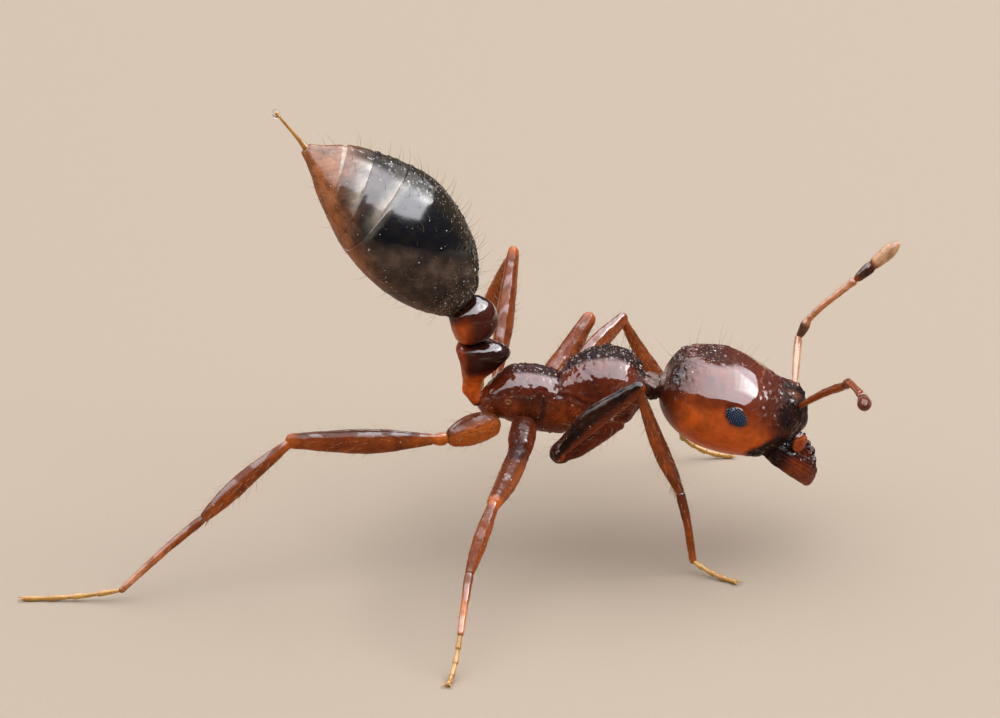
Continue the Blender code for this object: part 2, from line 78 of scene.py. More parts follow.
def unit(vectors):
    return vectors / np.maximum(np.linalg.norm(vectors, axis=-1, keepdims=True), 1e-12)


def heading(side, turn, rise):
    turn, rise = math.radians(turn), math.radians(rise)
    level = math.cos(rise)
    return np.array([level * math.cos(turn), side * level * math.sin(turn), math.sin(rise)])


def aimed(direction, up=(0, 0, 1)):
    # the turn that lays a shape's own +X along a direction
    forward = unit(np.array(direction, float))
    side = unit(np.cross(np.array(up, float), forward))
    return np.column_stack([forward, side, np.cross(forward, side)])


def pitched(angle):
    c, s = math.cos(math.radians(angle)), math.sin(math.radians(angle))
    return np.array([[c, 0, s], [0, 1, 0], [-s, 0, c]])


def turned(angle):
    c, s = math.cos(math.radians(angle)), math.sin(math.radians(angle))
    return np.array([[c, -s, 0], [s, c, 0], [0, 0, 1]])


def mirrored(points, side):
    # points of the left side, or their mirror images if the side is -1
    return [(x, side * y, z) for x, y, z in points]


def awayFrom(points, line):
    # how far each point is from a line of straight steps
    line = np.array(line, float)
    nearest = np.full(points.shape[:2], np.inf)
    for start, end in zip(line[:-1], line[1:]):
        step = end - start
        f = np.clip(((points - start) @ step) / (step @ step), 0, 1)
        nearest = np.minimum(nearest, np.linalg.norm(points - start - f[..., None] * step, axis=-1))
    return nearest


def outlineOf(knots):
    return lambda t: curveThrough(knots, t)


def ringSizes(high, wide=None):
    # the outline of a shell that is as high above its middle as below it
    return np.column_stack([high, high, high if wide is None else wide, high * 0])


def roundOutline(knots, radius, flatness=1.0):
    def outline(t):
        share = curveThrough(knots, t)[:, 0] * radius
        return ringSizes(share, share * flatness)
    return outline


class Shell:
    # a closed grid of rings from pole to pole, with its own marks for colour, relief and bristles

    def __init__(self, path, outline, rows, sides, ends, up=(0, 0, 1), squareness=2.0):
        path, up = np.array(path, float), np.array(up, float)
        lengths = np.concatenate([[0], np.cumsum(np.linalg.norm(np.diff(path, axis=0), axis=1))])
        knots = np.column_stack([lengths / lengths[-1], path])
        t = (1 - np.cos(math.pi * np.arange(1, rows) / rows)) / 2

        def along(at):
            return curveThrough(knots, np.clip(at, 0, 1))
        forward = unit(along(t + 0.01) - along(t - 0.01))
        upAxis = unit(up - forward * (forward @ up)[:, None])
        sideAxis = unit(np.cross(upAxis, forward))
        high, low, wide, middle = outline(t).T
        opening = np.sqrt(1 - (1 - np.minimum(t / ends[0], 1)) ** 2)
        opening *= np.sqrt(1 - (1 - np.minimum((1 - t) / ends[1], 1)) ** 2)
        angle = 2 * math.pi * (np.arange(sides) + 0.5) / sides
        c, s = np.cos(angle), np.sin(angle)
        across = np.sign(c) * np.abs(c) ** (2 / squareness)
        rise = np.sign(s) * np.abs(s) ** (2 / squareness)
        reach = np.where(rise[None, :] > 0, high[:, None], low[:, None]) * opening[:, None]
        centre = along(t) + upAxis * middle[:, None]
        self.grid = (centre[:, None, :]
                     + sideAxis[:, None, :] * (across[None, :] * (wide * opening)[:, None])[..., None]
                     + upAxis[:, None, :] * (rise[None, :] * reach)[..., None])
        self.poles = [along(np.array([at]))[0] + up * outline(np.array([at]))[0][3] for at in (0.0, 1.0)]
        self.t, self.angle = t, angle
        self.tGrid = np.repeat(t[:, None], sides, axis=1)
        self.rise = np.repeat(s[None, :], len(t), axis=0)  # 1 on the back, -1 underneath
        self.masks = {}

    @property
    def x(self):
        return self.grid[..., 0]

    @property
    def y(self):
        return self.grid[..., 1]

    @property
    def z(self):
        return self.grid[..., 2]

    def normals(self):
        rows = np.concatenate([self.poles[0][None, None, :].repeat(self.grid.shape[1], 1), self.grid,
                               self.poles[1][None, None, :].repeat(self.grid.shape[1], 1)])
        down = rows[2:] - rows[:-2]
        around = np.roll(self.grid, -1, axis=1) - np.roll(self.grid, 1, axis=1)
        return unit(np.cross(around, down))

    def push(self, amount, way=None):
        # moves the surface out along its normals, or along a way; amounts are per point
        way = self.normals() if way is None else np.array(way, float)
        self.grid = self.grid + way * np.asarray(amount)[..., None]

    def bump(self, centre, reach, way):
        distance = np.linalg.norm(self.grid - np.array(centre), axis=-1) / reach
        self.grid = self.grid + np.array(way) * ((np.cos(np.pi * np.minimum(distance, 1)) + 1) / 2)[..., None]

    def near(self, centre, reach):
        # 1 at a place, fading to 0 at its reach
        distance = np.linalg.norm(self.grid - np.array(centre), axis=-1) / reach
        return (np.cos(np.pi * np.minimum(distance, 1)) + 1) / 2

    def groove(self, line, depth, width):
        # a furrow, or a ridge if the depth is negative, along a line of points
        cut = np.exp(-(awayFrom(self.grid, line) / width) ** 2)
        self.push(-depth * cut)
        return cut

    def mark(self, **values):
        # each mark is one number for the whole shell, or one for every point
        for name, value in values.items():
            self.masks[name] = value + np.zeros(self.grid.shape[:2])

    def lay(self, way):
        # the way that the bristles lean
        self.masks["lie"] = np.broadcast_to(np.array(way), self.grid.shape)

    def place(self, at=(0, 0, 0), turn=np.eye(3)):
        self.grid = self.grid @ turn.T + np.array(at)
        self.poles = [turn @ pole + np.array(at) for pole in self.poles]
        return self

    def arrays(self):
        rows, sides = self.grid.shape[:2]
        points = np.concatenate([self.poles[0][None], self.grid.reshape(-1, 3), self.poles[1][None]])
        k = np.arange(sides)
        after = (k + 1) % sides
        low = (1 + np.arange(rows - 1) * sides)[:, None]
        quads = np.stack([low + k, low + after, low + sides + after, low + sides + k], -1).reshape(-1, 4)
        last = 1 + (rows - 1) * sides
        first = np.stack([np.zeros(sides, int), 1 + after, 1 + k], -1)
        final = np.stack([last + k, last + after, np.full(sides, len(points) - 1)], -1)
        return points, quads, first, final, np.concatenate([[0], self.t, [1]])


def egg(size, rows, sides):
    # an ellipsoid, from its half sizes
    long, wide, tall = size
    return Shell([(-long, 0, 0), (0, 0, 0), (long, 0, 0)], lambda t: ringSizes(t * 0 + tall, t * 0 + wide),
                 rows, sides, (0.5, 0.5))


def masksOf(shell):
    values = {}
    for name, mask in shell.masks.items():
        flat = mask.reshape((-1,) + mask.shape[2:])
        values[name] = np.concatenate([mask[0].mean(0)[None], flat, mask[-1].mean(0)[None]])
    return values


cellFill = 0.96  # how much of its cell of the map a shell fills


def meshFrom(name, shells):
    # one mesh from one or more shells, with a map "shellUV" and an attribute for each mask
    points, faces, uvs, masks, base = [], [], [], {}, 0
    cells = math.ceil(math.sqrt(len(shells)))
    names = sorted({key for shell in shells for key in shell.masks})
    for number, shell in enumerate(shells):
        p, quads, first, final, v = shell.arrays()
        rows, sides = shell.grid.shape[:2]
        k = np.arange(sides)
        corner = np.array([number % cells, number // cells]) / cells
        here, after, between, ones = k / sides, (k + 1) / sides, (k + 0.5) / sides, np.ones(sides)
        u0, u1, v0, v1 = (np.broadcast_to(part, (rows - 1, sides))
                          for part in (here, after, v[1:-2, None], v[2:-1, None]))
        quadUv = np.stack([u0, v0, u1, v0, u1, v1, u0, v1], -1).reshape(-1, 2)
        firstUv = np.stack([between, 0 * ones, after, v[1] * ones, here, v[1] * ones], -1)
        finalUv = np.stack([here, v[-2] * ones, after, v[-2] * ones, between, ones], -1)
        uvs += [corner + part.reshape(-1, 2) * cellFill / cells for part in (quadUv, firstUv, finalUv)]
        faces += [part + base for part in (quads, first, final)]
        points.append(p + antShift)
        values = masksOf(shell)
        for key in names:
            shape = (len(p), 3) if key == "lie" else (len(p),)
            masks.setdefault(key, []).append(values.get(key, np.zeros(shape)))
        base += len(p)
    mesh = bpy.data.meshes.new(name)
    mesh.from_pydata(np.concatenate(points) * mm, [], [face for part in faces for face in part.tolist()])
    mesh.shade_smooth()
    layer = mesh.uv_layers.new(name="shellUV")
    layer.uv.foreach_set("vector", np.concatenate(uvs).astype(np.float32).ravel())
    for key in names:
        kind = "FLOAT_VECTOR" if key == "lie" else "FLOAT"
        attribute = mesh.attributes.new(key, kind, "POINT")
        field = "vector" if key == "lie" else "value"
        attribute.data.foreach_set(field, np.concatenate(masks[key]).astype(np.float32).ravel())
    return mesh


def stand(name, data):
    thing = bpy.data.objects.new(name, data)
    bpy.context.scene.collection.objects.link(thing)
    return thing


def piece(name, mesh, material, nodes=()):
    thing = stand(name, mesh)
    mesh.materials.clear()
    mesh.materials.append(material)
    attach(thing, "root")
    if nodes:
        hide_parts(*nodes)
    return thing


def add(tree, kind, inputs=None, **settings):
    # a node with its settings and its inputs, which are values or other nodes' sockets
    node = tree.nodes.new(kind)
    for key, value in settings.items():
        setattr(node, key, value)
    for key, value in (inputs or {}).items():
        socket = node.inputs[key]
        if isinstance(value, bpy.types.NodeSocket):
            tree.links.new(value, socket)
        elif value is not None:
            socket.default_value = value
    return node


def maths(tree, operation, a, b=None, c=None, clamp=False):
    node = add(tree, "ShaderNodeMath", {0: a, 1: b, 2: c}, operation=operation, use_clamp=clamp)
    return node.outputs[0]


def times(tree, a, b):
    return maths(tree, "MULTIPLY", a, b)


def timesPlus(tree, a, b, c, clamp=False):
    return maths(tree, "MULTIPLY_ADD", a, b, c, clamp)


def minus(tree, a, b, clamp=False):
    return maths(tree, "SUBTRACT", a, b, clamp=clamp)


def scaled(tree, vector, factor):
    return add(tree, "ShaderNodeVectorMath", {0: vector, "Scale": factor}, operation="SCALE").outputs[0]


def summed(tree, a, b):
    return add(tree, "ShaderNodeVectorMath", {0: a, 1: b}, operation="ADD").outputs[0]


def blendColour(tree, factor, a, b):
    return add(tree, "ShaderNodeMix", {0: factor, 6: a, 7: b}, data_type="RGBA").outputs[2]


def groupOf(name, inputs, outputs, kind="ShaderNodeTree"):
    tree = bpy.data.node_groups.new(name, kind)
    for label, (socketType, value) in inputs.items():
        socket = tree.interface.new_socket(name=label, in_out="INPUT", socket_type=socketType)
        if value is not None:
            socket.default_value = value
    for label, socketType in outputs.items():
        tree.interface.new_socket(name=label, in_out="OUTPUT", socket_type=socketType)
    return tree, tree.nodes.new("NodeGroupInput").outputs, tree.nodes.new("NodeGroupOutput").inputs


def millimetres(tree):
    return scaled(tree, add(tree, "ShaderNodeTexCoord").outputs["Object"], 1 / mm)


def markOf(tree, name):
    return add(tree, "ShaderNodeAttribute", attribute_name=name).outputs["Fac"]


def newMaterial(name):
    material = bpy.data.materials.new(name)
    material.use_nodes = True
    tree = material.node_tree
    return material, tree, tree.nodes["Principled BSDF"]


def setInputs(node, values):
    for label, value in values.items():
        node.inputs[label].default_value = value


def cuticleGrain():
    # fine relief of a shell: grain, grit, round pits, dents, and lines that follow each shell's own marks
    tree, given, out = groupOf("cuticleGrain", {
        "Grain Scale": ("NodeSocketFloat", 60.0),
        "Grain Depth": ("NodeSocketFloat", 0.3),
        "Grit Scale": ("NodeSocketFloat", 55.0),
        "Grit Depth": ("NodeSocketFloat", 1.5),
        "Pit Scale": ("NodeSocketFloat", 14.0),
        "Pit Size": ("NodeSocketFloat", 0.2),
        "Pit Depth": ("NodeSocketFloat", 0.5),
        "Dent Scale": ("NodeSocketFloat", 14.0),
        "Dent Depth": ("NodeSocketFloat", 3.0),
        "Line Waver": ("NodeSocketFloat", 0.25),
    }, {"Height": "NodeSocketFloat", "Pits": "NodeSocketFloat", "Mottle": "NodeSocketFloat"})
    inMm = millimetres(tree)

    def noise(scale, detail, roughness=0.5):
        return add(tree, "ShaderNodeTexNoise", {
            "Vector": inMm, "Scale": scale, "Detail": detail, "Roughness": roughness}).outputs["Fac"]
    pits = add(tree, "ShaderNodeTexVoronoi", {"Vector": inMm, "Scale": given["Pit Scale"]})
    inPit = maths(tree, "DIVIDE", pits.outputs["Distance"], given["Pit Size"])
    pit = minus(tree, 1.0, maths(tree, "SMOOTH_MIN", inPit, 1.0, 0.3), clamp=True)
    pitted = markOf(tree, "pitted")
    pit = times(tree, pit, pitted)
    grit = times(tree, noise(given["Grit Scale"], 2.0), times(tree, pitted, pitted))
    dent = times(tree, noise(given["Dent Scale"], 2.0, 0.6), markOf(tree, "uneven"))
    wavered = timesPlus(tree, noise(9.0, 2.0), given["Line Waver"], markOf(tree, "linePhase"))
    line = maths(tree, "SINE", times(tree, wavered, 2 * math.pi))
    height = times(tree, line, markOf(tree, "lineDepth"))
    height = timesPlus(tree, noise(given["Grain Scale"], 4.0), given["Grain Depth"], height)
    height = timesPlus(tree, grit, given["Grit Depth"], height)
    height = timesPlus(tree, dent, given["Dent Depth"], height)
    height = minus(tree, height, times(tree, pit, given["Pit Depth"]))
    tree.links.new(height, out["Height"])
    tree.links.new(pit, out["Pits"])
    tree.links.new(noise(7.0, 5.0, 0.6), out["Mottle"])
    return tree


def shellTone():
    # a shell's colour: its own tone, warmer where it is thin, darker at edges, with dust on it; the same
    # marks also carry painted glow, painted shade and painted highlights on some shells
    tree, given, out = groupOf("shellTone", {
        "Tone": ("NodeSocketColor", (0.1, 0.02, 0.01, 1)),
        "Thin": ("NodeSocketColor", (0.5, 0.12, 0.02, 1)),
        "Edge": ("NodeSocketColor", (0.02, 0.005, 0.004, 1)),
        "Pale": ("NodeSocketColor", (0.7, 0.6, 0.45, 1)),
        "Dust": ("NodeSocketColor", (0.75, 0.68, 0.58, 1)),
        "Mottle": ("NodeSocketFloat", 0.5),
        "Pits": ("NodeSocketFloat", 0.0),
        "Dust Scale": ("NodeSocketFloat", 18.0),
        "Blotch": ("NodeSocketFloat", 0.3),
        "Blotch Scale": ("NodeSocketFloat", 22.0),
    }, {"Color": "NodeSocketColor", "Dust": "NodeSocketFloat"})
    inMm, dusty = millimetres(tree), markOf(tree, "dusty")
    waver = minus(tree, given["Mottle"], 0.5)

    def shifted(name):  # a mark whose edge wanders with the mottling
        here = markOf(tree, name)
        reach = times(tree, waver, maths(tree, "MINIMUM", times(tree, here, 3.0), 1.0))
        return timesPlus(tree, reach, 1.1, here, clamp=True)
    colour = blendColour(tree, shifted("thin"), given["Tone"], given["Thin"])
    colour = blendColour(tree, shifted("pale"), colour, given["Pale"])
    colour = blendColour(tree, shifted("edge"), colour, given["Edge"])
    colour = blendColour(tree, times(tree, given["Pits"], 0.75), colour, given["Edge"])
    cloud = add(tree, "ShaderNodeTexNoise", {
        "Vector": inMm, "Scale": given["Blotch Scale"], "Detail": 3.0}).outputs["Fac"]
    cloud = add(tree, "ShaderNodeMapRange", {"Value": cloud, "From Min": 0.50, "From Max": 0.66},
                interpolation_type="SMOOTHSTEP").outputs[0]
    colour = blendColour(tree, times(tree, cloud, given["Blotch"]), colour, given["Edge"])
    strength = timesPlus(tree, waver, 0.9, 1.0)
    lighter = scaled(tree, colour, strength)

    def specks(scale, reach):  # round specks of many sizes, larger where there is more dust
        cells = add(tree, "ShaderNodeTexVoronoi", {"Vector": inMm, "Scale": scale})
        size = add(tree, "ShaderNodeSeparateColor", {"Color": cells.outputs["Color"]}).outputs[0]
        reach = times(tree, maths(tree, "POWER", size, 2.4), reach)
        return maths(tree, "LESS_THAN", cells.outputs["Distance"], reach)
    coarse = specks(given["Dust Scale"], times(tree, dusty, 0.26))
    fine = specks(times(tree, given["Dust Scale"], 2.4),
                  times(tree, minus(tree, dusty, 0.5, clamp=True), 0.9))
    speck = maths(tree, "MAXIMUM", coarse, times(tree, fine, 0.55))
    tree.links.new(blendColour(tree, speck, lighter, given["Dust"]), out["Color"])
    tree.links.new(speck, out["Dust"])
    return tree


grainGroup, toneGroup = cuticleGrain(), shellTone()

shellLooks = {  # colours in linear light, sizes in millimetres
    "redShell": {
        "Tone": (0.085, 0.0110, 0.0040), "Thin": (0.63, 0.112, 0.013), "Edge": (0.0110, 0.0040, 0.0030),
        "Pale": (0.50, 0.27, 0.11), "Dust": (0.62, 0.50, 0.42), "Dust Scale": 24.0,
        "roughness": 0.30, "coatRoughness": 0.045, "flesh": 0.20, "fleshDepth": 0.05,
        "Grain Scale": 80.0, "Grain Depth": 0.12, "Grit Scale": 42.0, "Grit Depth": 5.0, "Pit Scale": 15.0,
        "Pit Size": 0.20, "Pit Depth": 1.2, "Dent Scale": 13.0, "Dent Depth": 3.0, "Line Waver": 0.8,
        "Blotch": 0.16, "Blotch Scale": 20.0, "relief": 0.0022,
        "dents": (12.0, 0.016), "grit": (40.0, 0.0075), "coatIor": 2.0,
    },
    "amberShell": {
        "Tone": (0.150, 0.027, 0.0070), "Thin": (0.54, 0.132, 0.0190), "Edge": (0.022, 0.0075, 0.0065),
        "Pale": (0.70, 0.47, 0.27), "Dust": (0.66, 0.52, 0.38), "Dust Scale": 26.0,
        "roughness": 0.32, "coatRoughness": 0.07, "flesh": 0.28, "fleshDepth": 0.04,
        "Grain Scale": 90.0, "Grain Depth": 0.25, "Grit Scale": 50.0, "Grit Depth": 4.0, "Pit Scale": 20.0,
        "Pit Size": 0.25, "Pit Depth": 0.9, "Dent Scale": 18.0, "Dent Depth": 3.0, "Line Waver": 0.6,
        "Blotch": 0.20, "Blotch Scale": 30.0, "relief": 0.0020,
        "dents": (17.0, 0.0060), "grit": (46.0, 0.0060), "coatIor": 2.0,
    },
    "goldenShell": {
        "Tone": (0.36, 0.145, 0.028), "Thin": (0.60, 0.35, 0.080), "Edge": (0.09, 0.030, 0.008),
        "Pale": (0.80, 0.62, 0.34), "Dust": (0.80, 0.72, 0.58), "Dust Scale": 26.0,
        "roughness": 0.36, "coatRoughness": 0.12, "flesh": 0.35, "fleshDepth": 0.035,
        "Grain Scale": 90.0, "Grain Depth": 0.3, "Grit Scale": 60.0, "Grit Depth": 3.0, "Pit Scale": 30.0,
        "Pit Size": 0.22, "Pit Depth": 0.5, "Dent Scale": 22.0, "Dent Depth": 2.5, "Line Waver": 0.6,
        "Blotch": 0.20, "Blotch Scale": 30.0, "relief": 0.0018,
        "dents": (22.0, 0.0030), "grit": (50.0, 0.0030), "coatIor": 1.7,
    },
    "blackShell": {
        "Tone": (0.0038, 0.0038, 0.0062), "Thin": (0.34, 0.100, 0.021), "Edge": (0.0180, 0.0130, 0.0060),
        "Pale": (0.52, 0.45, 0.35), "Dust": (0.66, 0.64, 0.60), "Dust Scale": 25.0,
        "roughness": 0.30, "coatRoughness": 0.15, "flesh": 0.04, "fleshDepth": 0.03,
        "Grain Scale": 60.0, "Grain Depth": 0.08, "Grit Scale": 40.0, "Grit Depth": 3.5, "Pit Scale": 24.0,
        "Pit Size": 0.16, "Pit Depth": 1.0, "Dent Scale": 6.0, "Dent Depth": 3.0, "Line Waver": 0.5,
        "Blotch": 0.35, "Blotch Scale": 12.0, "relief": 0.0020,
        "dents": (8.0, 0.012), "grit": (36.0, 0.0065), "coatIor": 2.1,
    },
}

cuticle = {  # what all the shells share
    "matteRoughness": 0.30, "pitRoughness": 0.25, "dustRoughness": 0.4, "ior": 1.40, "specular": 0.12,
    "fleshRadius": (1.0, 0.30, 0.10),
}


def shellMaterial(name):
    look = shellLooks[name]
    material, tree, shader = newMaterial(name)
    grain = add(tree, "ShaderNodeGroup", node_tree=grainGroup)
    tone = add(tree, "ShaderNodeGroup", node_tree=toneGroup)
    for group in (grain, tone):
        for socket in group.inputs:
            if socket.name in look:
                value = look[socket.name]
                socket.default_value = (*value, 1) if isinstance(value, tuple) else value
    tree.links.new(grain.outputs["Mottle"], tone.inputs["Mottle"])
    tree.links.new(grain.outputs["Pits"], tone.inputs["Pits"])
    tree.links.new(tone.outputs["Color"], shader.inputs["Base Color"])
    matte = markOf(tree, "matte")
    rough = timesPlus(tree, matte, cuticle["matteRoughness"], look["roughness"])
    rough = timesPlus(tree, grain.outputs["Pits"], cuticle["pitRoughness"], rough)
    rough = timesPlus(tree, tone.outputs["Dust"], cuticle["dustRoughness"], rough, clamp=True)
    tree.links.new(rough, shader.inputs["Roughness"])
    bare = times(tree, minus(tree, 1.0, matte), markOf(tree, "gloss"))
    tree.links.new(minus(tree, bare, tone.outputs["Dust"], clamp=True), shader.inputs["Coat Weight"])
    relief = add(tree, "ShaderNodeBump", {"Height": grain.outputs["Height"], "Strength": 1.0,
                                          "Distance": look["relief"] * mm})
    tree.links.new(relief.outputs["Normal"], shader.inputs["Normal"])
    setInputs(shader, {
        "Coat Roughness": look["coatRoughness"], "Coat IOR": look["coatIor"], "IOR": cuticle["ior"],
        "Specular IOR Level": cuticle["specular"], "Subsurface Weight": look["flesh"],
        "Subsurface Radius": cuticle["fleshRadius"], "Subsurface Scale": look["fleshDepth"] * mm,
    })
    return material


materials = {name: shellMaterial(name) for name in shellLooks}


def plainMaterial(name, colour, roughness, grain=12.0, contrast=0.3, ior=1.5):
    material, tree, shader = newMaterial(name)
    noise = add(tree, "ShaderNodeTexNoise", {"Vector": millimetres(tree), "Scale": grain, "Detail": 3.0})
    low, high = (tuple(min(c * f, 1) for c in colour) for f in (1 - contrast, 1 + contrast))
    mixed = blendColour(tree, noise.outputs["Fac"], (*low, 1), (*high, 1))
    tree.links.new(mixed, shader.inputs["Base Color"])
    setInputs(shader, {"Roughness": roughness, "IOR": ior})
    return material


materials["bristleHorn"] = plainMaterial("bristleHorn", (0.40, 0.26, 0.13), 0.40)
materials["eyeFacets"] = plainMaterial("eyeFacets", (0.003, 0.026, 0.080), 0.18, ior=1.7)
print("materials ready")

bakedPatch = 0.003  # how far apart on the map the ends of one bristle take their colour


def bristleTree():
    # bristles rooted on a shell where its "bristle" mask says, leaning along its "lie"
    tree, given, out = groupOf("bristles", {
        "Geometry": ("NodeSocketGeometry", None),
        "Spacing": ("NodeSocketFloat", 0.00008),
        "Density": ("NodeSocketFloat", 1e8),
        "Length": ("NodeSocketFloat", 0.00015),
        "Spread": ("NodeSocketFloat", 0.4),
        "Root Radius": ("NodeSocketFloat", 0.0000035),
        "Bend": ("NodeSocketFloat", 0.3),
        "Lean": ("NodeSocketFloat", 0.4),
        "Stray": ("NodeSocketFloat", 0.28),
        "Seed": ("NodeSocketInt", 1),
        "Material": ("NodeSocketMaterial", None),
    }, {"Geometry": "NodeSocketGeometry"}, "GeometryNodeTree")

    def attribute(name, kind):
        return add(tree, "GeometryNodeInputNamedAttribute", {"Name": name}, data_type=kind).outputs[0]

    def random(low, high, seed, kind="FLOAT"):
        least, most, value = {"FLOAT": (2, 3, 1), "FLOAT_VECTOR": (0, 1, 0)}[kind]
        seed = maths(tree, "ADD", given["Seed"], float(seed))
        inputs = {least: low, most: high, "Seed": seed}
        return add(tree, "FunctionNodeRandomValue", inputs, data_type=kind).outputs[value]

    def stored(geometry, name, value, kind="FLOAT", domain="POINT"):
        inputs = {"Geometry": geometry, "Name": name, "Value": value}
        return add(tree, "GeometryNodeStoreNamedAttribute", inputs, data_type=kind, domain=domain).outputs[0]

    points = add(tree, "GeometryNodeDistributePointsOnFaces", {
        "Mesh": given["Geometry"], "Distance Min": given["Spacing"], "Density Max": given["Density"],
        "Density Factor": attribute("bristle", "FLOAT"), "Seed": given["Seed"]}, distribute_method="POISSON")
    lie = attribute("lie", "FLOAT_VECTOR")
    way = summed(tree, points.outputs["Normal"], scaled(tree, lie, given["Lean"]))
    stray = random((-1.0, -1.0, -1.0), (1.0, 1.0, 1.0), 11, "FLOAT_VECTOR")
    way = summed(tree, way, scaled(tree, stray, given["Stray"]))
    turn = add(tree, "FunctionNodeAlignRotationToVector", {"Vector": way}, axis="Z").outputs[0]
    turn = add(tree, "FunctionNodeAlignRotationToVector", {"Rotation": turn, "Vector": lie},
               axis="X", pivot_axis="Z").outputs[0]
    bent = add(tree, "ShaderNodeCombineXYZ", {"X": given["Bend"], "Z": 1.0}).outputs[0]
    line = add(tree, "GeometryNodeCurveQuadraticBezier", {
        "Resolution": 4, "Start": (0, 0, -0.04), "Middle": (0, 0, 0.55), "End": bent}).outputs[0]
    share = add(tree, "GeometryNodeSplineParameter").outputs["Factor"]
    line = stored(line, "bristleAlong", share)
    circle = add(tree, "GeometryNodeCurvePrimitiveCircle", {"Resolution": 3, "Radius": 1.0}).outputs[0]
    circle = stored(circle, "bristleAround", share)
    slim = maths(tree, "DIVIDE", given["Root Radius"], given["Length"])
    along = attribute("bristleAlong", "FLOAT")
    taper = times(tree, slim, timesPlus(tree, along, -0.8, 1.0))
    bristle = add(tree, "GeometryNodeCurveToMesh", {
        "Curve": line, "Profile Curve": circle, "Scale": taper, "Fill Caps": True}).outputs[0]
    size = times(tree, given["Length"], attribute("bristleSize", "FLOAT"))
    size = times(tree, size, random(minus(tree, 1.0, given["Spread"]), 1.0, 23))
    grown = add(tree, "GeometryNodeInstanceOnPoints", {
        "Points": points.outputs["Points"], "Instance": bristle, "Rotation": turn, "Scale": size}).outputs[0]
    real = add(tree, "GeometryNodeRealizeInstances", {"Geometry": grown}).outputs[0]
    patch = add(tree, "ShaderNodeCombineXYZ",
                {"X": attribute("bristleAround", "FLOAT"), "Y": along}).outputs[0]
    root = attribute("shellUV", "FLOAT_VECTOR")  # each bristle takes the colour of a small patch at its root
    baked = summed(tree, root, scaled(tree, patch, bakedPatch))
    real = stored(real, "OFBake", baked, "FLOAT2", "CORNER")
    done = add(tree, "GeometryNodeSetMaterial", {"Geometry": real, "Material": given["Material"]}).outputs[0]
    tree.links.new(done, out["Geometry"])
    return tree


bristles = bristleTree()


def grown(name, tree, carrier, settings, material, slot):
    # runs a node tree on a mesh and keeps the result as a plain piece
    thing = stand(name, carrier)
    modifier = thing.modifiers.new(name, "NODES")
    modifier.node_group = tree
    sockets = {item.name: item.identifier for item in tree.interface.items_tree if item.in_out == "INPUT"}
    for key, value in settings.items():
        modifier[sockets[key]] = value
    modifier[sockets["Material"]] = material
    bpy.context.view_layer.update()
    evaluated = thing.evaluated_get(bpy.context.evaluated_depsgraph_get())
    mesh = bpy.data.meshes.new_from_object(evaluated)
    mesh.name = name
    thing.modifiers.remove(modifier)
    bpy.data.objects.remove(thing)
    needed = ("position", "material_index", "sharp_face", "OFBake")
    spare = [layer.name for layer in mesh.attributes if layer.name not in needed
             and not layer.name.startswith(".")]
    for label in spare:
        mesh.attributes.remove(mesh.attributes[label])
    places = np.empty(len(mesh.vertices) * 3, np.float32)
    mesh.vertices.foreach_get("co", places)
    places[2::3] = np.maximum(places[2::3], 0.0)  # nothing reaches below the floor
    mesh.vertices.foreach_set("co", places)
    print(name, len(mesh.polygons), "faces")
    return piece(name, mesh, material)


carriers = {}  # shells whose bristles grow together, by the name of the coat
latticeTurn = np.array([[0.36, 0.48, -0.80], [-0.80, 0.60, 0.0], [0.48, 0.64, 0.60]])
latticeStep, latticeMix, latticeSpread = 7.3, np.array([12.9898, 78.233, 37.719]), 43758.5453


def lattice(points, scale, seed):
    # smooth noise from 0 to 1 at points, the same every time
    p = points @ latticeTurn * scale + latticeStep * seed
    cell = np.floor(p)
    f = p - cell
    f = f * f * (3 - 2 * f)
    total = 0.0
    for corner in np.ndindex(2, 2, 2):
        chance = np.sin((cell + corner) @ latticeMix + seed) * latticeSpread
        total = total + np.prod(np.where(corner, f, 1 - f), axis=-1) * (chance - np.floor(chance))
    return total


def layered(points, scale, finer, share, seed):
    # two sizes of smooth noise together, around 0
    return lattice(points, scale, seed) + share * lattice(points, scale * finer, seed + 1) - (1 + share) / 2


wear = {
    "dentLayers": (2.1, 0.5), "gritLayers": (1.7, 0.4),  # how much finer the second layer is, and its share
    "lumpScale": 0.75, "lumps": (0.62, 0.92), "lumpHeight": 1.8,  # against the grit
    "leastHeight": 0.0004,  # how near to the floor a shell comes
    "dashScale": 15.0, "dashes": (0.42, 0.60), "dashLevel": (0.45, 0.70),  # the gloss left on a streaky limb
    # shiny spots on dull shells
    "glintScale": 52.0, "glints": (0.71, 0.83), "glintGloss": 0.45, "glintPolish": 0.9,
    "leastGloss": 0.05, "glossLevel": (0.10, 0.36),  # a shell shines where it faces up
}
plainMarks = ("thin", "edge", "pale", "dusty", "matte", "pitted", "uneven", "knobbly", "linePhase",
              "lineDepth")


def roughen(shell, look):
    # dents and grit pushed into the surface itself, where its marks ask for them
    scale, depth = look["dents"]
    amount = depth * layered(shell.grid, scale, *wear["dentLayers"], 1) * shell.masks["uneven"]
    scale, depth = look["grit"]
    rough = layered(shell.grid, scale, *wear["gritLayers"], 3) * shell.masks["pitted"] ** 2
    lumps = ramp(lattice(shell.grid, scale * wear["lumpScale"], 6), *wear["lumps"]) * shell.masks["knobbly"]
    shell.push(amount + depth * (rough + wear["lumpHeight"] * lumps))


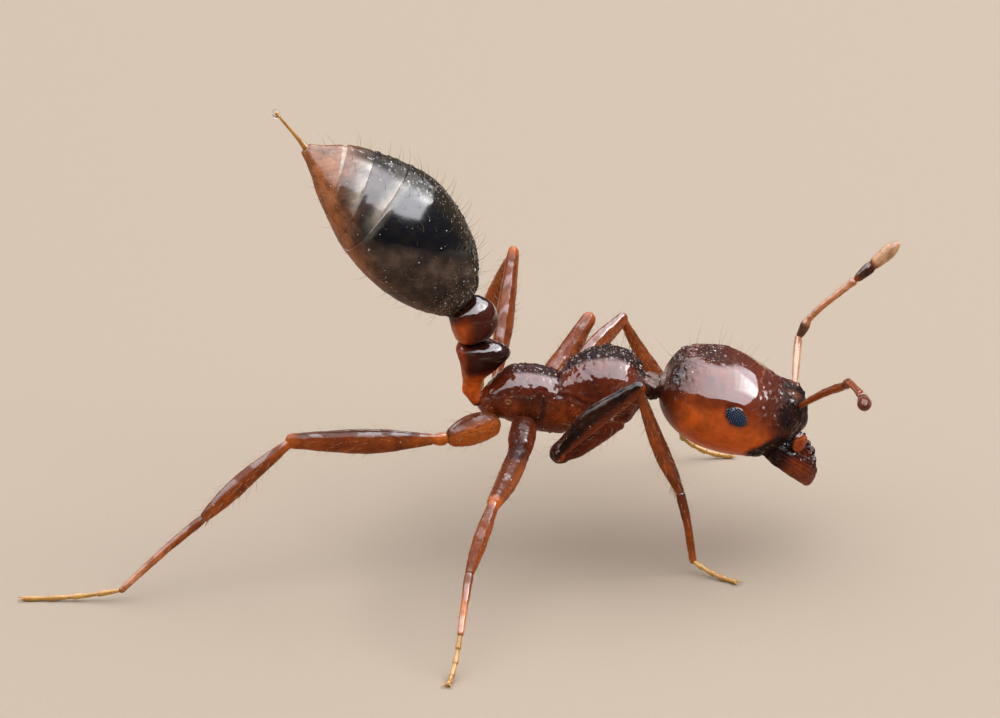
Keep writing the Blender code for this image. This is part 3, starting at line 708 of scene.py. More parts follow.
def finish(name, shell, material, nodes, coat=None, more=()):
    # makes a piece of a placed shell, and lends the shell to a coat of bristles
    for part in (shell, *more):
        part.mark(**{label: part.masks.get(label, 0.0) for label in plainMarks})
        level = part.normals()[..., 2]
        if part is shell:
            roughen(part, shellLooks[material])
        part.masks.pop("knobbly")
        part.grid[..., 2] = np.maximum(part.grid[..., 2], wear["leastHeight"])
        dashes = ramp(level, *wear["dashLevel"]) * ramp(lattice(part.grid, wear["dashScale"], 5),
                                                        *wear["dashes"])
        glints = ramp(lattice(part.grid, wear["glintScale"], 8), *wear["glints"])
        dull = 1 - part.masks.pop("streaky", 0.0) * (1 - dashes)
        gloss = (wear["leastGloss"] + (1 - wear["leastGloss"]) * ramp(level, *wear["glossLevel"])) * dull
        part.mark(gloss=gloss + (1 - gloss) * wear["glintGloss"] * glints * part.masks["pitted"],
                  matte=part.masks["matte"] * (1 - wear["glintPolish"] * glints))
    lent = ("bristle", "bristleSize", "lie")
    kept = {key: shell.masks.pop(key) for key in lent if key in shell.masks}
    piece(name, meshFrom(name, [shell, *more]), materials[material], nodes)
    if coat:
        shell.masks = kept
        carriers.setdefault(coat, []).append(shell)


bothSides = {"left": 1, "right": -1}

headAt, headPitch = (1.435, 0.0, 1.243), 20.0
headTurn = pitched(headPitch)
headShape = {
    "back": -0.03, "length": 1.075, "lean": 0.45, "leanStart": 0.70, "leanReach": 0.42, "faceMiddle": 0.03,
    "rows": 300, "sides": 300, "squareness": 2.15,
    "outline": [  # share of the length, half height up, half height down, half width, centre height
        (0.00, 0.330, 0.365, 0.490, 0.070), (0.25, 0.325, 0.358, 0.470, 0.067),
        (0.41, 0.347, 0.365, 0.498, 0.060), (0.56, 0.339, 0.350, 0.492, 0.052),
        (0.70, 0.306, 0.310, 0.460, 0.042), (0.82, 0.268, 0.270, 0.410, 0.030),
        (0.90, 0.235, 0.215, 0.330, 0.030), (1.00, 0.130, 0.120, 0.215, 0.030),
    ],
    "eyeAt": (0.53, 0.484, 0.12), "eyeSize": (0.093, 0.040, 0.064), "eyeTilt": 23.0, "eyeTurn": 8.0,
    # radius, width and depth of the rim around an eye
    "eyeRing": (0.098, 0.014, 0.005), "eyeRingHeight": 0.72,
    "backDent": ((-0.03, 0, 0.12), 0.30, (0.035, 0, 0)),
    "faceBulge": ((1.10, 0, 0.10), 0.22, (0.05, 0, -0.02)),
    "socketAt": (0.965, 0.13, 0.20), "socketDent": (0.0, 0.045, -0.01), "socketReach": 0.085,
    "socketPush": (-0.016, -0.014, -0.030),
    "lobeAt": (0.93, 0.125, 0.28), "lobeReach": 0.15, "lobePush": (0.014, 0, 0.035),
    "jawAt": (0.90, 0.32, -0.15), "jawReach": 0.30,
    "ridges": [  # lines on the left side, with a depth, negative because they stand out, and a width
        ([(1.06, 0.055, 0.20), (0.97, 0.095, 0.315), (0.86, 0.125, 0.345), (0.74, 0.150, 0.345)],
         -0.010, 0.016),
        ([(1.24, 0.060, -0.02), (1.17, 0.065, 0.08), (1.10, 0.055, 0.17)], -0.012, 0.014),
    ],
    "rim": ([(1.02, 0.27, -0.13), (1.06, 0.22, -0.02), (1.08, 0.15, 0.07), (1.03, 0.10, 0.18)], 0.007, 0.014),
    "folds": [(0.86, 0.38, -0.10), (0.95, 0.31, 0.0), (1.02, 0.20, 0.03)],  # between the eye and the clypeus
    "foldHeights": (0.03, 0.09, 0.15, 0.21), "foldDepth": 0.007, "foldWidth": 0.011,
    "frons": ([(0.55, 0, 0.41), (0.75, 0, 0.40), (0.95, 0, 0.34)], 0.006, 0.012),
}


def onHead(point, side=1):
    # where a point of the head, or its mirror image, is on the ant
    return np.array(headAt) + headTurn @ (np.array(point) * (1, side, 1))


def makeHead():
    s = headShape
    path = [(s["back"] + s["length"] * share, 0, 0) for share in (0.0, 0.5, 1.0)]
    shell = Shell(path, outlineOf(s["outline"]), s["rows"], s["sides"], (0.36, 0.10),
                  squareness=s["squareness"])
    front = ramp(shell.x, s["leanStart"], s["leanStart"] + s["leanReach"])
    shell.grid[..., 0] += s["lean"] * (shell.z - s["faceMiddle"]) * front
    shell.poles[1] += np.array([s["lean"] * (shell.poles[1][2] - s["faceMiddle"]), 0, 0])
    shell.bump(*s["backDent"])
    shell.bump(*s["faceBulge"])
    x, y, z = shell.x.copy(), np.abs(shell.y), shell.z.copy()
    jaw, lobes, eyes, rims = 0, 0, 0, 0
    for side in (1, -1):
        lobe = np.array(s["lobeAt"]) * (1, side, 1)
        shell.bump(lobe, s["lobeReach"], s["lobePush"])
        dent = (np.array(s["socketAt"]) + np.array(s["socketDent"])) * (1, side, 1)
        shell.bump(dent, s["socketReach"], np.array(s["socketPush"]) * (1, side, 1))
        for line, depth, width in s["ridges"]:
            shell.groove(mirrored(line, side), depth, width)
        line, depth, width = s["rim"]
        rims = rims + shell.groove(mirrored(line, side), depth, width)
        for height in s["foldHeights"]:
            line = [(fx, fy, height + fz) for fx, fy, fz in s["folds"]]
            rims = rims + 0.7 * shell.groove(mirrored(line, side), s["foldDepth"], s["foldWidth"])
        eye = np.array(s["eyeAt"]) * (1, side, 1)
        away = np.linalg.norm((shell.grid - eye) / np.array([1.0, 1.0, s["eyeRingHeight"]]), axis=-1)
        radius, width, depth = s["eyeRing"]
        shell.push(-depth * np.exp(-((away - radius) / width) ** 2) * (shell.y * side > 0))
        jaw = jaw + shell.near(np.array(s["jawAt"]) * (1, side, 1), s["jawReach"])
        lobes = lobes + shell.near(lobe + np.array([0, 0, 0.05]), 0.14)
        eyes = eyes + shell.near(eye, 0.15)
    shell.groove(*s["frons"])
    jaw = ramp(jaw, 0.12, 0.45)
    front = ramp(x, 0.77, 0.90) * ramp(z, -0.20, -0.02)
    wrinkled = front * ramp(y, 0.03, 0.12) * ramp(z, 0.33, 0.22)
    back = ramp(x, 0.20, 0.00)
    rear = ramp(x, 0.50, 0.15)
    crown = ramp(z, 0.372 - 0.045 * rear, 0.405 - 0.045 * rear) * ramp(x, 1.0, 0.6)
    nape = np.clip(ramp(x, 0.30, 0.06) * ramp(z, 0.02, 0.22) + crown * ramp(x, 0.45, 0.25), 0, 1)
    cheek = ramp(z, 0.12, -0.10) * ramp(z, -0.37, -0.25) * ramp(x, 0.10, 0.36) * ramp(x, 0.90, 0.72)
    shell.mark(linePhase=np.sqrt((x - 1.02) ** 2 + (z - 0.17) ** 2 + (y - 0.15) ** 2) / 0.030,
               lineDepth=wrinkled * 0.9,
               thin=np.clip(cheek + 0.42 * ramp(z, 0.24, 0.02) * ramp(x, 0.95, 0.8) + 0.10, 0, 1)
               * (1 - 0.8 * back) * (1 - 0.6 * front))
    brow = ramp(x, 0.62, 0.76) * ramp(z, 0.06, 0.18)
    shell.mark(edge=np.clip(0.60 * back + 0.52 * crown + 0.97 * jaw + 0.45 * front + 0.3 * rims + 0.28 * nape
                            + 0.50 * brow, 0, 0.97) * (1 - 0.65 * ramp(lobes, 0.3, 0.9)),
               knobbly=np.clip(0.8 * nape + 0.3 * crown + 0.5 * brow + 0.5 * wrinkled + 0.5 * jaw, 0, 1),
               pale=0.12 * ramp(lobes, 0.3, 0.9),
               dusty=np.clip(0.20 + 0.34 * crown + 0.72 * nape + 0.25 * jaw + 0.25 * wrinkled, 0, 1),
               pitted=np.clip(0.10 + 0.55 * crown + 0.9 * nape + 0.70 * wrinkled + 0.9 * jaw
                              + 0.6 * brow, 0, 1),
               uneven=np.clip(0.05 + 0.5 * nape + 0.55 * wrinkled + 0.7 * jaw + 0.25 * brow, 0, 1),
               matte=np.clip(0.60 * nape + 0.97 * crown + 0.30 * wrinkled + 0.60 * jaw + 0.90 * brow
                             + 0.3 * ramp(lobes, 0.2, 0.7), 0, 0.97),
               bristle=np.clip(0.04 + 0.96 * ramp(z, 0.22, 0.34) + 0.4 * back * ramp(z, 0, 0.2)
                               + 0.3 * wrinkled, 0, 1) * (1 - ramp(eyes, 0.1, 0.3)),
               bristleSize=0.45 + 0.55 * np.clip(crown + nape, 0, 1))
    shell.lay(headTurn @ np.array([0.9, 0, -0.2]))
    finish("head_shell", shell.place(headAt, headTurn), "redShell", ["head"], "head")


makeHead()

eyeLook = {
    "across": 10.5, "rows": 19, "facetRadius": 0.0078, "bulge": 0.95, "ballShare": 0.965, "leastInside": 0.05,
}


def facetTree():
    # one small dome on every facet of an eye
    tree, given, out = groupOf("facets", {
        "Geometry": ("NodeSocketGeometry", None),
        "Radius": ("NodeSocketFloat", 0.00001),
        "Height": ("NodeSocketFloat", 0.7),
        "Material": ("NodeSocketMaterial", None),
    }, {"Geometry": "NodeSocketGeometry"}, "GeometryNodeTree")
    way = add(tree, "GeometryNodeInputNamedAttribute", {"Name": "facetWay"},
              data_type="FLOAT_VECTOR").outputs[0]
    turn = add(tree, "FunctionNodeAlignRotationToVector", {"Vector": way}, axis="Z").outputs[0]
    dome = add(tree, "GeometryNodeMeshIcoSphere", {"Radius": 1.0, "Subdivisions": 2}).outputs[0]
    size = add(tree, "ShaderNodeCombineXYZ", {
        "X": given["Radius"], "Y": given["Radius"], "Z": times(tree, given["Radius"], given["Height"])})
    domes = add(tree, "GeometryNodeInstanceOnPoints", {
        "Points": given["Geometry"], "Instance": dome, "Rotation": turn, "Scale": size.outputs[0]}).outputs[0]
    real = add(tree, "GeometryNodeRealizeInstances", {"Geometry": domes}).outputs[0]
    real = add(tree, "GeometryNodeSetShadeSmooth", {"Geometry": real}).outputs[0]
    done = add(tree, "GeometryNodeSetMaterial", {"Geometry": real, "Material": given["Material"]}).outputs[0]
    tree.links.new(done, out["Geometry"])
    return tree


facets = facetTree()


def makeEye(label, side):
    s, look = headShape, eyeLook
    along, wide, tall = s["eyeSize"]
    size = np.array([along, wide, tall])
    shell = egg(size * look["ballShare"], 40, 48)
    turn = headTurn @ turned(-side * s["eyeTurn"]) @ pitched(s["eyeTilt"])
    at = onHead(s["eyeAt"], side)
    shell.place(at, turn)
    shell.mark(edge=1.0, matte=1.0)
    finish(label + "_eye_ball", shell, "blackShell", [label + "_eye"])
    step = 2 * along / look["across"]
    half = look["rows"] // 2
    points, ways = [], []
    for row in range(-half, half + 1):
        for column in range(-half, half + 1):
            # each row is offset, as in a honeycomb
            x, z = (column + (row % 2) / 2) * step, row * step * 0.866
            inside = 1 - (x / along) ** 2 - (z / tall) ** 2
            if inside > look["leastInside"]:
                point = np.array([x, side * wide * math.sqrt(inside), z])
                points.append(turn @ point + at)
                ways.append(turn @ unit(point / size**2))
    mesh = bpy.data.meshes.new(label + "_facet_points")
    mesh.from_pydata((np.array(points) + antShift) * mm, [], [])
    attribute = mesh.attributes.new("facetWay", "FLOAT_VECTOR", "POINT")
    attribute.data.foreach_set("vector", np.array(ways, np.float32).ravel())
    grown(label + "_eye_facets", facets, mesh, {"Radius": look["facetRadius"] * mm, "Height": look["bulge"]},
          materials["eyeFacets"], "eye_facets")


mandibleShape = {
    "path": [(0.84, 0.225, -0.105), (1.06, 0.235, -0.165), (1.21, 0.145, -0.25), (1.270, 0.052, -0.335)],
    "outline": [(0.00, 0.080, 0.070, 0.055, 0.00), (0.40, 0.100, 0.085, 0.060, 0.00),
                (0.72, 0.100, 0.080, 0.045, 0.01), (1.00, 0.045, 0.028, 0.027, 0.00)],
    "up": (0.25, 0, 1), "teeth": 4, "toothHeight": 0.020, "lines": 22, "rows": 150, "sides": 120,
    "knuckleAt": (1.064, 0.235, 0.006), "knuckleSize": (0.066, 0.040, 0.086),  # the hinge, beside the clypeus
    "knuckleTurn": 30.0,
    "mouthAt": (0.945, 0.150, -0.125), "mouthSize": (0.185, 0.130, 0.100), "mouthPitch": 11.0,
}


def makeMandible(label, side):
    s = mandibleShape

    def outline(t):
        knots = curveThrough(s["outline"], t)
        cut = np.abs(np.sin(math.pi * s["teeth"] * np.clip((t - 0.52) / 0.48, 0, 1))) ** 0.8
        knots[:, 0] += s["toothHeight"] * (cut - 0.4) * ramp(t, 0.50, 0.62)
        return knots
    shell = Shell(mirrored(s["path"], side), outline, s["rows"], s["sides"], (0.12, 0.08), up=s["up"])
    base = ramp(shell.tGrid, 0.42, 0.25)
    rim = ramp(shell.rise, 0.55, 0.9) * ramp(shell.tGrid, 0.2, 0.4)
    shell.mark(linePhase=shell.angle / (2 * math.pi) * s["lines"],
               lineDepth=1.2 * ramp(shell.tGrid, 0.1, 0.3),
               thin=0.27 * ramp(shell.tGrid, 0.20, 0.45) * ramp(shell.rise, 0.9, 0.2),
               edge=np.clip(0.85 * base + 0.6 * rim + 0.3 * ramp(shell.rise, -0.75, -1.0), 0, 0.95),
               pitted=np.clip(0.35 + 0.6 * base + 0.5 * rim, 0, 1), uneven=0.4 + 0.4 * base,
               dusty=0.30 + 0.6 * rim, matte=np.clip(0.45 + 0.4 * base + 0.3 * rim, 0, 0.9),
               bristle=0.8 * ramp(shell.tGrid, 0.2, 0.4) * ramp(shell.rise, -0.2, 0.4), bristleSize=0.35)
    shell.lay(headTurn @ np.array([0.8, 0, -0.6]))
    finish(label + "_mandible_shell", shell.place(headAt, headTurn), "redShell",
           [label + "_mandible"], "head")
    knuckle = egg(s["knuckleSize"], 70, 70)
    long, _wide, tall = s["knuckleSize"]
    inner = ramp(np.hypot(knuckle.x / long, knuckle.z / tall), 1.0, 0.72)
    knuckle.mark(thin=0.58 * inner, edge=0.9 * (1 - inner), uneven=0.5, pitted=0.85,
                 dusty=0.3 + 0.6 * (1 - inner), linePhase=(knuckle.z - 0.5 * knuckle.x) / 0.024,
                 lineDepth=0.9 * inner)
    knuckle.place(onHead(s["knuckleAt"], side), headTurn @ turned(-side * s["knuckleTurn"]))
    finish(label + "_mandible_knuckle", knuckle, "redShell", [])
    mouth = egg(s["mouthSize"], 110, 110)
    mouth.mark(edge=0.80, pitted=1.0, knobbly=1.0, uneven=0.9, matte=0.8, dusty=0.6)
    mouth.place(onHead(s["mouthAt"], side), pitched(headPitch + s["mouthPitch"]))
    finish(label + "_mouth_shell", mouth, "redShell", [])


for label, side in bothSides.items():
    makeEye(label, side)
    makeMandible(label, side)
print("head ready")

antennaShape = {
    "scape": (0.75, 0.031), "funiculus": (0.62, 0.027), "club": (0.44, 0.050), "clubOverlap": 0.012,
    "scapeBow": 0.018, "funiculusBow": 0.045, "beads": 9, "beadWaist": 0.10,
    "scapeOutline": [(0.0, 0.80), (0.05, 0.86), (0.10, 0.52), (0.25, 0.74), (0.80, 1.0), (1.0, 0.86)],
    "funiculusOutline": [(0.0, 0.75), (0.05, 1.05), (0.13, 1.30), (0.20, 1.32), (0.26, 0.86), (0.31, 0.93),
                         (0.60, 0.96), (1.0, 1.15)],
    "clubOutline": [(0.0, 0.55), (0.12, 0.68), (0.32, 0.86), (0.40, 0.72), (0.47, 0.88), (0.74, 1.04),
                    (1.0, 0.80)],
    "poses": {
        "left": {"scape": (86, 17), "funiculus": (1, 47.5), "club": (1, 42)},
        "right": {"scape": (56, 31), "funiculus": (79, 12), "club": (90, 12)},
    },
    "paintedBacklight": {"left": 1.0, "right": 0.0},  # painted light: the left one is painted paler and warmer, as if lit through from behind
}


def limbMasks(shell, darkTop=0.5, darkEnds=0.3, thin=0.3, bristle=1.0, size=1.0, pale=0.0, uneven=0.8,
              streaky=0.0):
    # the marks that every limb segment carries
    ends = ramp(shell.tGrid, 0.05, 0.0) + ramp(shell.tGrid, 0.965, 1.0)
    # painted light: painted shade darkens the top, and a painted glow warms the underside
    top = ramp(shell.rise, 0.30, 0.95)
    shell.mark(edge=np.clip(darkTop * top + darkEnds * ends, 0, 0.95),
               thin=np.clip(thin * (1 + 0.6 * ramp(shell.rise, 0.2, -0.8)), 0, 1), pale=pale, dusty=0.45,
               pitted=0.45, uneven=uneven, streaky=streaky,
               bristle=bristle * ramp(shell.tGrid, 0.02, 0.08) * ramp(shell.tGrid, 1.0, 0.96),
               bristleSize=size)


def makeAntenna(label, side):
    s = antennaShape
    paintedBacklight = s["paintedBacklight"][label]
    ways = {name: heading(side, *angles) for name, angles in s["poses"][label].items()}
    at = onHead(headShape["socketAt"], side)

    def segment(name, path, outline, rows, sides, ends, start, **marks):
        shell = Shell(path, outline, rows, sides, ends)
        limbMasks(shell, size=0.5, **marks)
        shell.place(start, aimed(ways[name]))
        shell.lay(ways[name])
        return shell
    length, radius = s["scape"]
    shell = segment("scape", [(0, 0, 0), (length * 0.5, 0, s["scapeBow"]), (length, 0, 0)],
                    roundOutline(s["scapeOutline"], radius), 90, 32, (0.04, 0.05), at,
                    darkTop=0.2 + 0.2 * (1 - paintedBacklight), thin=0.25 + 0.4 * paintedBacklight, pale=0.5 * paintedBacklight)
    shell.mark(edge=np.clip(shell.masks["edge"] + 0.5 * ramp(shell.tGrid, 0.12, 0.05), 0, 0.9))
    finish(label + "_scape_shell", shell, "amberShell", [label + "_scape"], "antennae")
    elbow = at + ways["scape"] * (length - radius)
    length, radius = s["funiculus"]

    def beaded(t):
        share = (t * s["beads"]) % 1.0
        size = curveThrough(s["funiculusOutline"], t)[:, 0] * radius
        size = size * (1 - s["beadWaist"] * (1 - np.sin(math.pi * share)) * ramp(t, 0.22, 0.30))
        return ringSizes(size)
    shell = segment("funiculus", [(0, 0, 0), (length * 0.3, 0, s["funiculusBow"]), (length, 0, 0)], beaded,
                    200, 32, (0.04, 0.04), elbow, darkTop=0.1, thin=0.25 + 0.45 * paintedBacklight, pale=0.25 * paintedBacklight)
    shell.mark(edge=np.clip(shell.masks["edge"] + 0.75 * ramp(shell.tGrid, 0.25, 0.16), 0, 0.9))
    finish(label + "_funiculus_shell", shell, "amberShell", [label + "_funiculus"], "antennae")
    wrist = elbow + ways["funiculus"] * (length - s["clubOverlap"])
    length, radius = s["club"]
    shell = segment("club", [(0, 0, 0), (length, 0, 0)], roundOutline(s["clubOutline"], radius), 120, 40,
                    (0.10, 0.26), wrist, darkTop=0.1, thin=0.15 + 0.25 * paintedBacklight, uneven=0.5)
    dark = ramp(shell.tGrid, 0.04, 0.14) * ramp(shell.tGrid, 0.50, 0.36)
    # the dark band is the club's own colour; the pale on the left club's last segment is a painted highlight
    shell.mark(edge=0.85 * dark + 0.45 * (1 - paintedBacklight) * (1 - dark),
               pale=0.55 * paintedBacklight * ramp(shell.tGrid, 0.38, 0.55), matte=0.6 * (1 - dark))
    finish(label + "_club_shell", shell, "amberShell", [label + "_club"], "antennae")


for label, side in bothSides.items():
    makeAntenna(label, side)
print("antennae ready")

thoraxShape = {
    "length": 0.75, "rows": 240, "sides": 240, "squareness": 2.2,
    "outline": [
        (0.00, 0.215, 0.235, 0.205, 0.000), (0.12, 0.275, 0.250, 0.225, 0.020),
        (0.30, 0.300, 0.285, 0.250, 0.060), (0.54, 0.310, 0.300, 0.290, 0.100),
        (0.75, 0.265, 0.270, 0.310, 0.120), (0.92, 0.190, 0.205, 0.250, 0.115),
        (1.00, 0.140, 0.160, 0.190, 0.110),
    ],
    "joints": [  # between the plates of the flank: x and z along each, its depth and its width
        ([(0.04, 0.12), (0.20, 0.10), (0.40, 0.06), (0.58, -0.02)], 0.008, 0.018),
        ([(0.58, -0.02), (0.50, -0.12), (0.44, -0.22)], 0.010, 0.016),
        ([(0.13, 0.10), (0.17, -0.08), (0.14, -0.24)], 0.011, 0.016),
        ([(0.32, 0.26), (0.36, 0.18), (0.42, 0.08)], 0.004, 0.016),
    ],
    "jointSway": 0.03, "swayScale": 9.0, "chestDent": ((0.72, 0, -0.10), 0.25, (-0.05, 0, 0.03)),
    "rearLean": 0.24, "rearSway": 0.07, "rearSwayScale": 7.0,  # the rear edge leans and wanders
    "furrowAt": 0.40, "furrowDepth": 0.006, "furrowWidth": 0.014,  # across the back
    "lineTilt": (0.80, -0.60), "lineStep": 0.016,
    "neckAt": (1.30, 0.0, 1.235), "neckLength": 0.20, "neckHigh": 0.105, "neckWide": 0.115, "neckWaist": 0.16,
}


def makeThorax():
    s = thoraxShape
    shell = Shell([(0, 0, 0), (s["length"], 0, 0)], outlineOf(s["outline"]), s["rows"], s["sides"],
                  (0.10, 0.22), squareness=s["squareness"])
    shell.bump(*s["chestDent"])
    seam = s["rearLean"] * shell.z + s["rearSway"] * (lattice(shell.grid, s["rearSwayScale"], 12) - 0.5)
    shell.grid[..., 0] += seam * ramp(shell.x, 0.32, 0.0)
    x, z = shell.x.copy(), shell.z.copy()
    cuts = 0
    for side in (1, -1):
        sway = s["jointSway"] * (lattice(shell.grid, s["swayScale"], 9) - 0.5)
        level = shell.grid * np.array([1, 0, 1]) + sway[..., None]
        for line, depth, width in s["joints"]:
            away = awayFrom(level, [(jointX, 0, jointZ) for jointX, jointZ in line])
            cut = np.exp(-(away / width) ** 2) * (shell.y * side > 0)
            shell.push(-depth * cut)
            cuts = cuts + cut
    furrow = np.exp(-((shell.x - s["furrowAt"]) / s["furrowWidth"]) ** 2)
    shell.push(-s["furrowDepth"] * furrow * ramp(shell.rise, 0.55, 0.9))
    lower = ramp(z, 0.14, 0.0)
    striated = np.clip(ramp(x, 0.30, 0.16) * ramp(z, 0.18, 0.06) + 0.35 * lower, 0, 1)
    crown = ramp(shell.rise, 0.84, 0.94) * ramp(x, 0.02, 0.20)
    front = ramp(x, 0.60, 0.70)
    waistward = ramp(x, 0.07, 0.02)
    shell.mark(linePhase=(x * s["lineTilt"][0] + z * s["lineTilt"][1]) / s["lineStep"],
               lineDepth=striated * 0.6, thin=np.clip(0.10 + 0.30 * lower * ramp(x, 0.60, 0.35), 0, 1),
               edge=np.clip(0.10 + 0.85 * crown + 0.45 * front + 0.3 * np.clip(cuts, 0, 1)
                            + 0.25 * ramp(x, 0.16, 0.02), 0, 0.96),
               dusty=np.clip(0.62 + 0.4 * crown + 0.60 * waistward * ramp(z, 0.0, 0.1), 0, 1),
               pitted=np.clip(crown + 0.5 * front + 0.75, 0, 1),
               uneven=np.clip(0.66 + 0.15 * crown + 0.2 * lower, 0, 1),
               knobbly=np.clip(0.12 + crown + 0.5 * waistward + 0.25 * front, 0, 1),
               matte=np.clip(0.97 * crown + 0.15 * striated + 0.1, 0, 0.97),
               bristle=np.clip(0.04 + crown + 0.4 * front, 0, 1), bristleSize=0.6 + 0.4 * crown)
    shell.lay((-0.8, 0, 0.1))
    finish("thorax_shell", shell.place(thoraxRear), "redShell", ["thorax"], "thorax")


def makeNeck():
    s = thoraxShape

    def outline(t):
        waist = 1 - s["neckWaist"] * np.sin(math.pi * t)
        return ringSizes(s["neckHigh"] * waist, s["neckWide"] * waist)
    neck = Shell([(0, 0, 0), (s["neckLength"], 0, 0)], outline, 90, 110, (0.1, 0.1))
    top = ramp(neck.rise, 0.0, 0.6)
    # the pale, less dark top is a painted highlight on the dark red neck; the dust is its own
    neck.mark(dusty=0.70, matte=0.6, pitted=1.0, uneven=1.0, knobbly=1.0, pale=0.16 * top, edge=0.70
              - 0.35 * top)
    finish("neck_shell", neck.place(s["neckAt"]), "redShell", ["neck"])


makeThorax()
makeNeck()

propodeumShape = {
    "rear": (0.085, 0.0, 1.10), "length": 0.66, "rows": 180, "sides": 200, "squareness": 2.2,
    "outline": [
        (0.00, 0.130, 0.090, 0.110, 0.000), (0.18, 0.170, 0.120, 0.150, 0.025),
        (0.34, 0.225, 0.160, 0.185, 0.050), (0.52, 0.235, 0.215, 0.205, 0.060),
        (0.75, 0.240, 0.245, 0.212, 0.040), (1.00, 0.190, 0.210, 0.190, 0.020),
    ],
    "spiracleAt": (0.235, 0.175, 0.075), "spiracleRadius": 0.020,  # a breathing hole with a raised rim
    "spiracleRim": (0.006, 0.006), "spiracleHole": (0.010, 0.010), "paleFrom": 0.02,  # widths and depths
    "joints": [  # lines on the left flank
        [(0.08, 0.16, -0.02), (0.25, 0.19, -0.03), (0.45, 0.21, -0.06)],
        [(0.45, 0.21, -0.20), (0.49, 0.21, 0.0), (0.50, 0.21, 0.12)],
    ],
    "jointDepth": 0.007, "jointWidth": 0.018, "lineTilt": (0.5, -0.87), "lineStep": 0.016,
}


def makePropodeum():
    s = propodeumShape
    shell = Shell([(0, 0, 0), (s["length"], 0, 0)], outlineOf(s["outline"]), s["rows"], s["sides"],
                  (0.25, 0.10), squareness=s["squareness"])
    x, z = shell.x.copy(), shell.z.copy()
    pale, cuts = 0, 0
    for side in (1, -1):
        spiracle = np.array(s["spiracleAt"]) * (1, side, 1)
        away = np.linalg.norm((shell.grid - spiracle) * np.array([1, 0.4, 1]), axis=-1)
        (rimWidth, rimHeight), (holeWidth, holeDepth) = s["spiracleRim"], s["spiracleHole"]
        ring = np.exp(-((away - s["spiracleRadius"]) / rimWidth) ** 2) * (shell.y * side > 0)
        hole = np.exp(-(away / holeWidth) ** 2) * (shell.y * side > 0)
        shell.push(rimHeight * ring - holeDepth * hole)
        pale = pale + ring * ramp(z, s["spiracleAt"][2] - s["paleFrom"], s["spiracleAt"][2] + s["paleFrom"])
        for line in s["joints"]:
            cuts = cuts + shell.groove(mirrored(line, side), s["jointDepth"], s["jointWidth"])
    lower = ramp(z, 0.12, -0.03)
    crown = ramp(shell.rise, 0.84, 0.94) * ramp(x, 0.10, 0.28)
    ahead = ramp(x, 0.50, 0.60)
    shell.mark(linePhase=(x * s["lineTilt"][0] + z * s["lineTilt"][1]) / s["lineStep"],
               lineDepth=np.clip(0.7 * lower + ramp(x, 0.42, 0.5) * ramp(z, 0.15, 0.0), 0, 1) * 0.6,
               thin=np.clip(0.08 + 0.30 * lower, 0, 1),
               edge=np.clip(0.10 + 0.75 * crown * ramp(x, 0.1, 0.3) + 0.3 * np.clip(cuts, 0, 1)
                            + 0.45 * ramp(x, 0.28, 0.38) * ramp(x, 0.56, 0.46)
                            * ramp(z, 0.17, 0.10), 0, 0.95),
               pale=np.clip(0.5 * pale, 0, 1),
               dusty=np.clip(0.63 + 0.3 * crown + 0.3 * ahead * ramp(z, 0.0, 0.1), 0, 1),
               pitted=np.clip(0.75 + 0.2 * ahead + 0.3 * crown, 0, 1),
               knobbly=np.clip(0.12 + 0.7 * ahead * ramp(z, 0.0, 0.12) + 0.4 * crown, 0, 1),
               uneven=np.clip(0.50 + 0.4 * lower + 0.3 * ahead, 0, 1),
               matte=np.clip(0.15 * lower + 0.97 * crown, 0, 1), bristle=np.clip(0.04 + 0.5 * crown, 0, 1),
               bristleSize=0.6 + 0.3 * crown)
    shell.lay((-0.8, 0, 0.1))
    finish("propodeum_shell", shell.place(s["rear"]), "redShell", ["propodeum"], "thorax")


makePropodeum()
print("thorax ready")

waistShape = {
    "sides": 160, "tooth": ((0.0, 0, 1.21), 0.070, (-0.016, 0, -0.010)),  # under the stalk of the petiole
    "petiolePath": [(0.12, 1.10), (0.055, 1.20), (0.042, 1.40), (0.028, 1.60)],
    "petiole": [
        (0.00, 0.055, 0.050, 0.070, 0.0), (0.22, 0.062, 0.055, 0.075, 0.0), (0.42, 0.105, 0.060, 0.095, 0.0),
        (0.60, 0.220, 0.070, 0.150, 0.0), (0.75, 0.297, 0.085, 0.175, 0.0), (0.89, 0.245, 0.095, 0.160, 0.0),
        (1.00, 0.150, 0.080, 0.120, 0.0),
    ],
    "postpetiolePath": [(0.032, 1.57), (0.018, 1.76), (-0.045, 1.90)],
    "postpetiole": [
        (0.00, 0.110, 0.080, 0.120, 0.0), (0.28, 0.200, 0.115, 0.185, 0.0), (0.55, 0.225, 0.130, 0.205, 0.0),
        (0.80, 0.170, 0.120, 0.180, 0.0), (1.00, 0.110, 0.090, 0.115, 0.0),
    ],
}


def waistShell(name, rows, ends):
    path = [(x, 0, z) for x, z in waistShape[name + "Path"]]
    ahead = (1, 0, 0)  # the back of a waist knot faces forward, because the waist climbs
    return Shell(path, outlineOf(waistShape[name]), rows, waistShape["sides"], ends, up=ahead)


